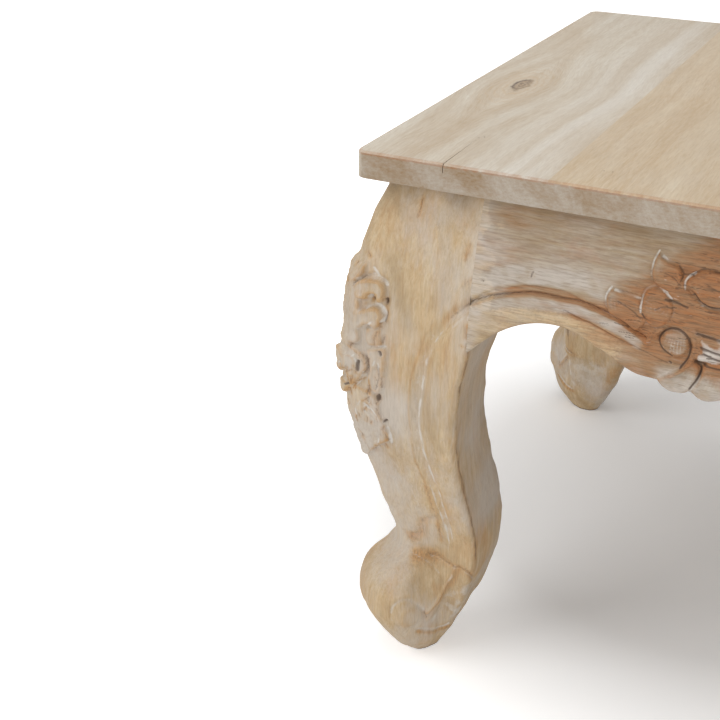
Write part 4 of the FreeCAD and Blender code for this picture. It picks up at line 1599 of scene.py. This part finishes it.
class NodeTree:
    """Short ways to add and join nodes of a tree."""

    def __init__(self, tree):
        self.tree = tree

    def add(self, kind, values=None, links=None, **settings):
        """New node with its settings, socket values and incoming links."""
        node = self.tree.nodes.new(kind)
        for key, value in settings.items():
            setattr(node, key, value)
        for key, value in (values or {}).items():
            node.inputs[key].default_value = value
        for key, socket in (links or {}).items():
            self.join(socket, node.inputs[key])
        return node

    def join(self, source, target):
        """Lead one socket into another."""
        self.tree.links.new(source, target)

    def feed(self, term, target):
        """Lead a socket into an input, or set the input to a number or a colour."""
        if isinstance(term, bpy.types.NodeSocket):
            self.join(term, target)
        elif isinstance(term, (int, float)):
            target.default_value = term
        else:
            target.default_value = (*term, 1)

    def reckon(self, operation, first, second=0):
        """One sum of one or two sockets or numbers."""
        node = self.add("ShaderNodeMath", operation=operation)
        self.feed(first, node.inputs[0])
        self.feed(second, node.inputs[1])
        return node.outputs[0]

    def times(self, first, second):
        """Product of two sockets or numbers."""
        return self.reckon("MULTIPLY", first, second)

    def total(self, sockets, shares):
        """Sum of sockets, each with its own share."""
        parts = [self.times(socket, share) for socket, share in zip(sockets, shares)]
        whole = parts[0]
        for part in parts[1:]:
            whole = self.reckon("ADD", whole, part)
        return whole

    def peak(self, value, width):
        """Soft peak where a value is zero."""
        share = self.reckon("DIVIDE", value, width)
        return self.reckon("EXPONENT", self.times(self.times(share, share), -1))

    def between(self, value, bounds, ends=(0, 1)):
        """Value moved from one range to another and held there."""
        limits = {"From Min": bounds[0], "From Max": bounds[1], "To Min": ends[0], "To Max": ends[1]}
        node = self.add("ShaderNodeMapRange", limits, {"Value": value}, clamp=True)
        return node.outputs["Result"]

    def space(self, operation, first, second=None):
        """One sum of one or two vectors."""
        node = self.add("ShaderNodeVectorMath", links={0: first}, operation=operation)
        if isinstance(second, bpy.types.NodeSocket):
            self.join(second, node.inputs[1])
        elif second is not None:
            node.inputs[1].default_value = second
        return node.outputs["Value" if operation in ("LENGTH", "DISTANCE") else "Vector"]

    def noise(self, vector, look):
        """Noise drawn out along the grain."""
        drawn = self.space("MULTIPLY", vector, look.stretch)
        node = self.add("ShaderNodeTexNoise", {
            "Scale": 1, "Detail": look.detail, "Roughness": look.roughness, "Distortion": look.distortion,
        }, {"Vector": drawn})
        return node.outputs["Fac"]

    def ranged_noise(self, vector, look, ends=(0, 1)):
        """Noise with its own range of values spread out and held."""
        return self.between(self.noise(vector, look), look.bounds, ends)

    def mixed(self, share, first, second, weight=None):
        """Colour between two colours, by a share that a weight may lessen."""
        if weight is not None:
            share = self.times(share, weight)
        node = self.add("ShaderNodeMix", data_type="RGBA", clamp_factor=True)
        for index, term in ((0, share), (6, first), (7, second)):
            self.feed(term, node.inputs[index])
        return node.outputs[2]

    def mask(self, name):
        """Value of a mask painted on the mesh."""
        return self.add("ShaderNodeAttribute", attribute_name=name).outputs["Fac"]

    def place(self):
        """Place on the piece."""
        return self.add("ShaderNodeTexCoord").outputs["Object"]


def shade_group(name, inputs, outputs):
    """New shader node group and its entry node."""
    tree = bpy.data.node_groups.new(name, "ShaderNodeTree")
    for label, (kind, value) in inputs.items():
        socket = tree.interface.new_socket(label, in_out="INPUT", socket_type=kind)
        if value is not None:
            socket.default_value = value
    for label in outputs:
        tree.interface.new_socket(label, in_out="OUTPUT", socket_type="NodeSocketFloat")
    nodes = NodeTree(tree)
    return nodes, nodes.add("NodeGroupInput")


def grain_group():
    """Fibres, streaks, growth rings and pores of wood whose grain runs along Z."""
    if "wood grain" in bpy.data.node_groups:
        return bpy.data.node_groups["wood grain"]
    nodes, entry = shade_group("wood grain", {
        "Vector": ("NodeSocketVector", None), "Pith": ("NodeSocketVector", pith_place),
    }, ("Fibre", "Streak", "Rings", "Pores"))
    vector = entry.outputs["Vector"]
    from_pith = nodes.space("SUBTRACT", nodes.space("ABSOLUTE", vector), entry.outputs["Pith"])
    radius = nodes.space("LENGTH", nodes.space("MULTIPLY", from_pith, ring_stretch))
    turns = nodes.total((radius, nodes.noise(vector, drift_noise)), shares=(820, 22))
    nodes.add("NodeGroupOutput", links={
        "Fibre": nodes.ranged_noise(vector, fibre_noise),
        "Streak": nodes.ranged_noise(vector, streak_noise),
        "Rings": nodes.between(nodes.reckon("SINE", turns), (0, 1)),
        "Pores": nodes.ranged_noise(vector, pore_noise)})
    return nodes.tree


def wash_group():
    """Where chalky wash lies: in soft patches, in hollows and where it is smeared."""
    if "chalk wash" in bpy.data.node_groups:
        return bpy.data.node_groups["chalk wash"]
    nodes, entry = shade_group("chalk wash", {
        "Vector": ("NodeSocketVector", None), "Hollow": ("NodeSocketFloat", 0),
        "Chalk": ("NodeSocketFloat", 0), "Share": ("NodeSocketFloat", 0.5),
    }, ("Cover",))
    vector = entry.outputs["Vector"]
    patches = [nodes.noise(vector, look) for look in (patch_noise, brush_noise)]
    painted = [entry.outputs[label] for label in ("Hollow", "Chalk", "Share")]
    cover = nodes.total((*patches, *painted), shares=(0.55, 0.45, 0.12, 0.32, 0.3))
    nodes.add("NodeGroupOutput", links={"Cover": nodes.between(cover, bounds=(0.54, 0.92))})
    return nodes.tree


def new_material(name):
    """New material, its nodes and its shader."""
    material = bpy.data.materials.new(name)
    material.use_nodes = True
    return material, NodeTree(material.node_tree), material.node_tree.nodes["Principled BSDF"]


def wood_base(name, axis):
    """New wood with coordinates along the grain, moved from piece to piece, and its grain group."""
    material, nodes, _ = new_material(name)
    turned = nodes.add("ShaderNodeMapping", {"Rotation": grain_turns[axis]}, {"Vector": nodes.place()})
    shift = nodes.add("ShaderNodeAttribute", attribute_name="shift")
    apart = nodes.space("MULTIPLY", shift.outputs["Vector"], grain_step)
    moved = nodes.add("ShaderNodeVectorMath", links={0: turned.outputs[0], 1: apart}, operation="ADD")
    grain = nodes.add("ShaderNodeGroup", node_tree=grain_group())
    nodes.join(moved.outputs[0], grain.inputs["Vector"])
    return material, nodes, moved, grain.outputs


def wash_layer(nodes, vector, finish):
    """Wash group with the share of the settings."""
    wash = nodes.add("ShaderNodeGroup", node_tree=wash_group())
    wash.inputs["Share"].default_value = finish.wash_share
    nodes.join(vector, wash.inputs["Vector"])
    return wash


def crisp(nodes, mask, chip):
    """Painted mask with its edge broken and sharpened by fine noise."""
    share = nodes.between(nodes.total((mask, chip), shares=(1, 0.5)), bounds=(0.42, 0.68))
    return nodes.times(share, nodes.between(mask, (0, 1), ends=(0.3, 1)))


def finish_wood(material, nodes, tone, grain, roughness, pore_share):
    """Darken the pores and lay colour, roughness and a fine bump on the shader."""
    shader = material.node_tree.nodes["Principled BSDF"]
    porous = nodes.mixed(grain["Pores"], tone, paint(*pore_colour), pore_share)
    nodes.join(porous, shader.inputs["Base Color"])
    nodes.join(roughness, shader.inputs["Roughness"])
    relief = nodes.total((grain["Fibre"], grain["Pores"]), shares=(0.6, -0.8))
    bump = nodes.add("ShaderNodeBump", {"Strength": 0.3, "Distance": 0.0004}, {"Height": relief})
    nodes.join(bump.outputs["Normal"], shader.inputs["Normal"])
    shader.inputs["Specular IOR Level"].default_value = 0.3


def carved_wood(name, axis, tones, finish, ring_share, pore_share):
    """Carved wood: grain, rubbed patches, painted shade, wash in the hollows, filled and dark cuts."""
    pale, deep, raw = tones
    material, nodes, moved, grain = wood_base(name, axis)
    vector = moved.outputs[0]
    shade = nodes.total((grain["Streak"], grain["Fibre"]), shares=(0.55, 0.45))
    chip = nodes.noise(vector, chip_noise)
    hollow = nodes.mask("hollow")
    leg_tone = nodes.mixed(shade, finish.leg_deep, finish.leg_pale)
    kin = nodes.between(nodes.total((nodes.mask("kin"), chip), shares=(1, 0.8)), bounds=(0.75, 1))
    tone = nodes.mixed(kin, nodes.mixed(shade, deep, pale), leg_tone)
    ringed = nodes.mixed(grain["Rings"], tone, deep, nodes.times(nodes.mask("figure"), ring_share))
    stained = nodes.mixed(nodes.ranged_noise(vector, golden_noise), ringed, raw, weight=0.45)
    # Random dull mottling and the painted shade of the mesh's mask, both towards the stain colour
    dull = nodes.total((nodes.ranged_noise(vector, dull_noise), nodes.mask("dull")), shares=(0.55, 1))
    mottled_and_shaded = nodes.mixed(dull, stained, finish.stain_and_shade)

    patch = nodes.between(nodes.ranged_noise(vector, rub_noise), (0, 1), ends=(0.25, 1))
    rubbed = nodes.times(nodes.mask("raw"), patch)
    lined = nodes.mixed(nodes.between(shade, (0, 1), ends=(0, 0.5)), raw, deep)
    bare = nodes.mixed(grain["Pores"], lined, finish.cut, weight=0.55)
    warm = nodes.mixed(rubbed, mottled_and_shaded, bare, weight=0.92)
    worn = nodes.mixed(nodes.between(hollow, bounds=(-0.2, -0.9)), warm, raw, weight=0.3)

    wash = wash_layer(nodes, vector, finish)
    nodes.join(nodes.total((hollow, rubbed), shares=(1, -2)), wash.inputs["Hollow"])
    nodes.join(nodes.mask("chalk"), wash.inputs["Chalk"])
    cover = wash.outputs["Cover"]
    washed = nodes.mixed(cover, worn, finish.wash, weight=0.7)
    filled = nodes.mixed(crisp(nodes, nodes.mask("pale"), chip), washed, finish.fill)
    cut = nodes.mixed(crisp(nodes, nodes.mask("dark"), chip), filled, finish.cut)
    finish_wood(material, nodes, cut, grain, nodes.between(cover, (0, 1), ends=(0.62, 0.8)), pore_share)
    return material


def knot_bend(nodes, place):
    """Place pushed aside round the knot, and its distance from the knot along the grain."""
    from_knot = nodes.space("SUBTRACT", place, (knot_mm[0] * mm, knot_mm[1] * mm, table_height))
    apart = nodes.add("ShaderNodeSeparateXYZ", links={0: from_knot})
    across = apart.outputs["X"]
    fall = nodes.reckon("EXPONENT", nodes.times(nodes.reckon("ABSOLUTE", across), -knot_fall))
    push = nodes.times(nodes.peak(apart.outputs["Y"], knot_reach), fall)
    push = nodes.times(nodes.reckon("SIGN", across), push)
    aside = nodes.add("ShaderNodeCombineXYZ", links={"X": nodes.times(push, knot_push)})
    bent = nodes.space("SUBTRACT", place, aside.outputs[0])
    distance = nodes.space("LENGTH", nodes.space("MULTIPLY", from_knot, knot_stretch))
    ragged = nodes.ranged_noise(place, ragged_noise, (-knot_waver, knot_waver))
    return bent, nodes.reckon("ADD", distance, ragged)


def with_knot(nodes, tone, distance, across, finish):
    """Colour of the top with its knot: warm halo with rings, brown heart and two dark rims."""

    def rim(radius, width):
        return nodes.peak(nodes.reckon("SUBTRACT", distance, radius), width)

    warm = nodes.mixed(nodes.between(distance, (0.03, 0.005)), tone, finish.leg_deep, weight=0.35)
    rings = nodes.between(nodes.reckon("SINE", nodes.times(distance, knot_ring_turns)), (0, 1))
    ringed = nodes.times(rings, nodes.between(distance, (0.045, 0.006), ends=(0, 0.45)))
    warm = nodes.mixed(ringed, warm, finish.leg_deep)
    core = nodes.mixed(nodes.between(distance, (0.0078, 0.0062)), warm, finish.apron_deep, weight=0.5)
    knot_x = knot_mm[0] * mm
    dark_side = nodes.between(across, (knot_x + knot_rim_radius, knot_x - knot_rim_radius), ends=(0.3, 0.95))
    outer = nodes.times(rim(knot_rim_radius, knot_rim_width), dark_side)
    inner = nodes.times(rim(knot_inner_radius, knot_inner_width), knot_inner_share)
    return nodes.mixed(nodes.reckon("ADD", outer, inner), core, finish.cut)


def end_grain(nodes, place, finish):
    """Colour of the end grain, speckled and smudged."""
    speckle = nodes.ranged_noise(place, speckle_noise)
    slanted = nodes.add("ShaderNodeMapping", {"Rotation": smudge_turn}, {"Vector": place})
    smudge = nodes.ranged_noise(slanted.outputs[0], smudge_noise)
    pale = nodes.mixed(end_wash_share, finish.top_edge, finish.wash)
    deep = nodes.mixed(speckle, finish.apron_deep, finish.top_edge, weight=0.5)
    return nodes.mixed(nodes.total((speckle, smudge), shares=(0.25, 0.75)), deep, pale)


def top_wood(finish):
    """Washed boards: pale figure bent round a knot, greyer end grain and rubbed arrises."""
    material, nodes, moved, grain = wood_base("washed_top", "Y")
    place = nodes.place()
    across = nodes.add("ShaderNodeSeparateXYZ", links={0: place}).outputs["X"]
    bent, distance = knot_bend(nodes, place)
    turn = nodes.add("ShaderNodeMapping", {"Rotation": grain_turns["Y"]}, {"Vector": bent})
    nodes.join(turn.outputs[0], moved.inputs[0])
    vector = moved.outputs[0]
    warmth = nodes.mask("warmth")
    figure = nodes.ranged_noise(vector, figure_noise)
    shade = nodes.total((figure, grain["Streak"], grain["Fibre"]), shares=(0.45, 0.3, 0.25))
    tone = nodes.mixed(shade, finish.top_deep, finish.top_pale)
    boards = nodes.mixed(warmth, tone, nodes.mixed(shade, finish.leg_deep, finish.leg_pale), weight=0.8)
    clouded = nodes.mixed(nodes.ranged_noise(vector, cloud_noise), boards, finish.top_deep, weight=0.4)
    beside_joint = nodes.between(across, (first_joint - strip_start, first_joint - strip_end))
    strip = nodes.times(beside_joint, nodes.between(warmth, (0.3, 0), ends=(0, 0.45)))
    striped = nodes.mixed(strip, clouded, finish.fill, figure)
    knotted = with_knot(nodes, striped, distance, across, finish)
    cover = wash_layer(nodes, vector, finish).outputs["Cover"]
    washed = nodes.mixed(cover, knotted, finish.fill, weight=0.25)
    normal = nodes.add("ShaderNodeNewGeometry").outputs["Normal"]
    facing = nodes.add("ShaderNodeSeparateXYZ", links={0: normal}).outputs["Y"]
    end_share = nodes.between(nodes.reckon("ABSOLUTE", facing), bounds=(0.75, 0.95))
    ends = nodes.mixed(end_share, washed, end_grain(nodes, place, finish))
    worn = nodes.times(nodes.ranged_noise(place, worn_noise), top_arris_share)
    rubbed = nodes.mixed(nodes.mask("arris"), ends, finish.apron_raw, worn)
    roughness = nodes.between(cover, (0, 1), ends=(0.55, 0.72))
    finish_wood(material, nodes, rubbed, grain, roughness, pore_share=0.14)
    return material


def plain_wood(name, axis, pale, deep):
    """Unfinished wood for the hidden pieces."""
    material, nodes, _, grain = wood_base(name, axis)
    ringed = nodes.mixed(grain["Rings"], nodes.mixed(grain["Streak"], deep, pale), deep, weight=0.3)
    roughness = nodes.between(grain["Streak"], (0, 1), ends=(0.7, 0.82))
    finish_wood(material, nodes, ringed, grain, roughness, pore_share=0.3)
    return material


def screw_steel(finish):
    """Plated steel with a slightly uneven gloss."""
    material, nodes, shader = new_material("screw_steel")
    noise = nodes.noise(nodes.place(), plating_noise)
    shade = nodes.mixed(nodes.between(noise, plating_noise.bounds), finish.steel, paint(*steel_shade))
    nodes.join(shade, shader.inputs["Base Color"])
    nodes.join(nodes.between(noise, steel_gloss_bounds, ends=(0.28, 0.46)), shader.inputs["Roughness"])
    shader.inputs["Metallic"].default_value = 1
    return material


# Floor, light and camera

def seen_directly(nodes):
    """1 for rays that show the background: straight, mirrored or through glass."""
    path = nodes.add("ShaderNodeLightPath")
    count = nodes.reckon("ADD", path.outputs["Is Camera Ray"], path.outputs["Is Glossy Ray"])
    count = nodes.reckon("ADD", count, path.outputs["Is Transmission Ray"])
    return nodes.reckon("MINIMUM", count, 1)


def floor_piece(stage):
    """Wide pale floor that keeps the table's shadow and turns white away from it."""
    plan = ((-1, -1), (1, -1), (1, 1), (-1, 1))
    corners = [(across * floor_reach, along * floor_reach, 0) for across, along in plan]
    mesh = bpy.data.meshes.new("floor")
    mesh.from_pydata(corners, [], [(0, 1, 2, 3)])
    floor = linked("floor", mesh)
    material, nodes, shader = new_material("pale_floor")
    shader.inputs["Base Color"].default_value = (*stage.floor, 1)
    shader.inputs["Roughness"].default_value = 0.9
    shader.inputs["Specular IOR Level"].default_value = 0
    distance = nodes.space("DISTANCE", nodes.place(), floor_middle)
    strength = nodes.between(distance, floor_glow_reach, (stage.near_glow, stage.far_glow))
    glow = nodes.add("ShaderNodeEmission", {"Color": (1, 1, 1, 1)})
    nodes.join(nodes.times(seen_directly(nodes), strength), glow.inputs["Strength"])
    both = nodes.add("ShaderNodeAddShader", links={0: shader.outputs[0], 1: glow.outputs[0]})
    nodes.join(both.outputs[0], material.node_tree.nodes["Material Output"].inputs["Surface"])
    mesh.materials.append(material)


def backdrop(scene, stage):
    """White backdrop and an even light from all round."""
    world = bpy.data.worlds.new("studio")
    world.use_nodes = True
    scene.world = world
    nodes = NodeTree(world.node_tree)
    background = world.node_tree.nodes["Background"]
    background.inputs["Color"].default_value = (1, 1, 1, 1)
    strength = nodes.between(seen_directly(nodes), (0, 1), (stage.sky, 1))
    nodes.join(strength, background.inputs["Strength"])


def lamp(name, place, size, watts):
    """Large soft lamp aimed at the table."""
    data = bpy.data.lights.new(name, "AREA")
    data.energy = watts
    data.size = size
    piece = linked(name, data)
    piece.location = place
    aim = Vector((0, 0, table_height / 2)) - Vector(place)
    piece.rotation_euler = aim.to_track_quat("-Z", "Y").to_euler()


def camera(scene):
    """Camera at the photograph's place and angle."""
    data = bpy.data.cameras.new("camera")
    data.sensor_width = sensor_width_mm
    data.lens = sensor_width_mm * focal_pixels / picture_side
    data.shift_y = (optical_row - picture_side / 2) / picture_side
    data.clip_start = 0.01
    piece = linked("camera", data)
    piece.location = camera_place
    level = math.cos(camera_pitch)
    aim = Vector((-math.sin(camera_yaw) * level, math.cos(camera_yaw) * level, -math.sin(camera_pitch)))
    piece.rotation_euler = aim.to_track_quat("-Z", "Y").to_euler()
    scene.camera = piece


# Operators

class TABLE_OT_boards(bpy.types.Operator):
    """Lay the four boards of the top"""
    bl_idname = "coffee_table.boards"
    bl_label = "Top Boards"

    def execute(self, context):
        boards = context.scene.table_boards
        material = top_wood(context.scene.table_finish)
        for index, name in enumerate(board_names):
            piece = place_piece(name + "_washed", board_mesh(name, boards), material, [name])
            if name == board_names[0]:
                cut_from(piece, check_outline(), check_depth)
            for place_mm in pin_holes_mm.get(name, ()):
                cut_from(piece, pin_outline(place_mm), pin_depth)
            mesh = piece.data
            for mask_name, value in (("shift", board_grain_shift + index), ("warmth", board_warmth[name])):
                mask = mesh.attributes.new(mask_name, "FLOAT", "POINT")
                mask.data.foreach_set("value", np.full(len(mesh.vertices), value, np.float32))
            mesh.shade_smooth()
            mesh.set_sharp_from_angle(angle=board_sharp_angle)
        return {"FINISHED"}


class TABLE_OT_legs(bpy.types.Operator):
    """Carve the four cabriole legs"""
    bl_idname = "coffee_table.legs"
    bl_label = "Carved Legs"

    def execute(self, context):
        finish = context.scene.table_finish
        tones = (finish.leg_pale, finish.leg_deep, finish.leg_raw)
        material = carved_wood("washed_leg", "Z", tones, finish, ring_share=0.6, pore_share=0.18)
        blank = leg_blank()
        for turns, corner in enumerate(quarter_names):
            mesh = leg_mesh(blank, context.scene.table_carving, turns)
            name = "leg_" + corner
            place_piece(name + "_carved", mesh, material, [name])
        return {"FINISHED"}


class TABLE_OT_aprons(bpy.types.Operator):
    """Carve the four aprons"""
    bl_idname = "coffee_table.aprons"
    bl_label = "Carved Aprons"

    def execute(self, context):
        finish = context.scene.table_finish
        tones = (finish.apron_pale, finish.apron_deep, finish.apron_raw)
        materials = [
            carved_wood("washed_apron_" + axis.lower(), axis, tones, finish, ring_share=0.35, pore_share=0.4)
            for axis in ("X", "Y")]
        for turns, side in enumerate(side_names):
            mesh = apron_mesh(context.scene.table_carving, turns)
            name = "apron_" + side
            place_piece(name + "_carved", mesh, materials[turns % 2], [name])
        return {"FINISHED"}


class TABLE_OT_pegs(bpy.types.Operator):
    """Set the pegs of the tenons and the dowels of the top"""
    bl_idname = "coffee_table.pegs"
    bl_label = "Pegs and Dowels"

    def execute(self, context):
        finish = context.scene.table_finish
        material = plain_wood("peg_wood", "Z", finish.leg_pale, finish.leg_deep)
        tree = fixing_tree("chamfered peg", peg_sizes, build_peg)
        for node in ("tenon_pegs", "top_dowels"):
            radius = float(aimed_points(node)[0][3])
            fixings(node + "_turned", node, tree, {"Radius": radius}, material)
        return {"FINISHED"}


class TABLE_OT_screws(bpy.types.Operator):
    """Drive the screws of the cleats and the batten"""
    bl_idname = "coffee_table.screws"
    bl_label = "Screws"

    def execute(self, context):
        material = screw_steel(context.scene.table_finish)
        tree = fixing_tree("countersunk screw", screw_sizes, build_screw)
        for node in ("cleat_screws", "top_screws"):
            fixings(node + "_driven", node, tree, screw_sizes, material)
        return {"FINISHED"}


class TABLE_OT_cleats(bpy.types.Operator):
    """Finish the cleats and the batten under the top"""
    bl_idname = "coffee_table.cleats"
    bl_label = "Cleats and Batten"

    def execute(self, context):
        finish = context.scene.table_finish
        names_along = {"X": ("cleat_front", "cleat_back", "top_batten"), "Y": ("cleat_left", "cleat_right")}
        for axis, names in names_along.items():
            material = plain_wood("sawn_wood_" + axis.lower(), axis, finish.sawn, finish.leg_deep)
            for name in names:
                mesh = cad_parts[name].data
                mesh.materials.clear()
                mesh.materials.append(material)
        return {"FINISHED"}


class TABLE_OT_stage(bpy.types.Operator):
    """Set the floor, the lamps, the backdrop and the camera"""
    bl_idname = "coffee_table.stage"
    bl_label = "Stage"

    def execute(self, context):
        stage = context.scene.table_stage
        context.scene.view_settings.view_transform = "Standard"
        floor_piece(stage)
        backdrop(context.scene, stage)
        for name, (place, size) in lamps.items():
            lamp(name + "_lamp", place, size, getattr(stage, name + "_power"))
        camera(context.scene)
        return {"FINISHED"}


class TABLE_PT_panel(bpy.types.Panel):
    """Sizes, colours and steps of the coffee table"""
    bl_idname = "TABLE_PT_panel"
    bl_label = "Coffee Table"
    bl_space_type = "VIEW_3D"
    bl_region_type = "UI"
    bl_category = "Coffee Table"

    def draw(self, context):
        for title, name in setting_names.items():
            box = self.layout.box()
            box.label(text=title)
            settings = getattr(context.scene, name)
            for key in settings.__annotations__:
                box.prop(settings, key)
        for operator in step_classes:
            self.layout.operator(operator.bl_idname)


setting_names = {
    "Carving": "table_carving", "Boards": "table_boards", "Finish": "table_finish", "Stage": "table_stage"}
setting_classes = (CarvingSettings, BoardSettings, FinishSettings, StageSettings)
step_classes = (
    TABLE_OT_boards, TABLE_OT_legs, TABLE_OT_aprons, TABLE_OT_pegs, TABLE_OT_screws, TABLE_OT_cleats,
    TABLE_OT_stage)


def register():
    for made in (*setting_classes, *step_classes, TABLE_PT_panel):
        bpy.utils.register_class(made)
    for name, made in zip(setting_names.values(), setting_classes):
        setattr(bpy.types.Scene, name, bpy.props.PointerProperty(type=made))


def unregister():
    for name in setting_names.values():
        delattr(bpy.types.Scene, name)
    for made in reversed((*setting_classes, *step_classes, TABLE_PT_panel)):
        bpy.utils.unregister_class(made)


def main():
    register()
    bpy.ops.coffee_table.boards()
    bpy.ops.coffee_table.legs()
    bpy.ops.coffee_table.aprons()
    bpy.ops.coffee_table.pegs()
    bpy.ops.coffee_table.screws()
    bpy.ops.coffee_table.cleats()
    bpy.ops.coffee_table.stage()


if __name__ == "__main__":
    main()
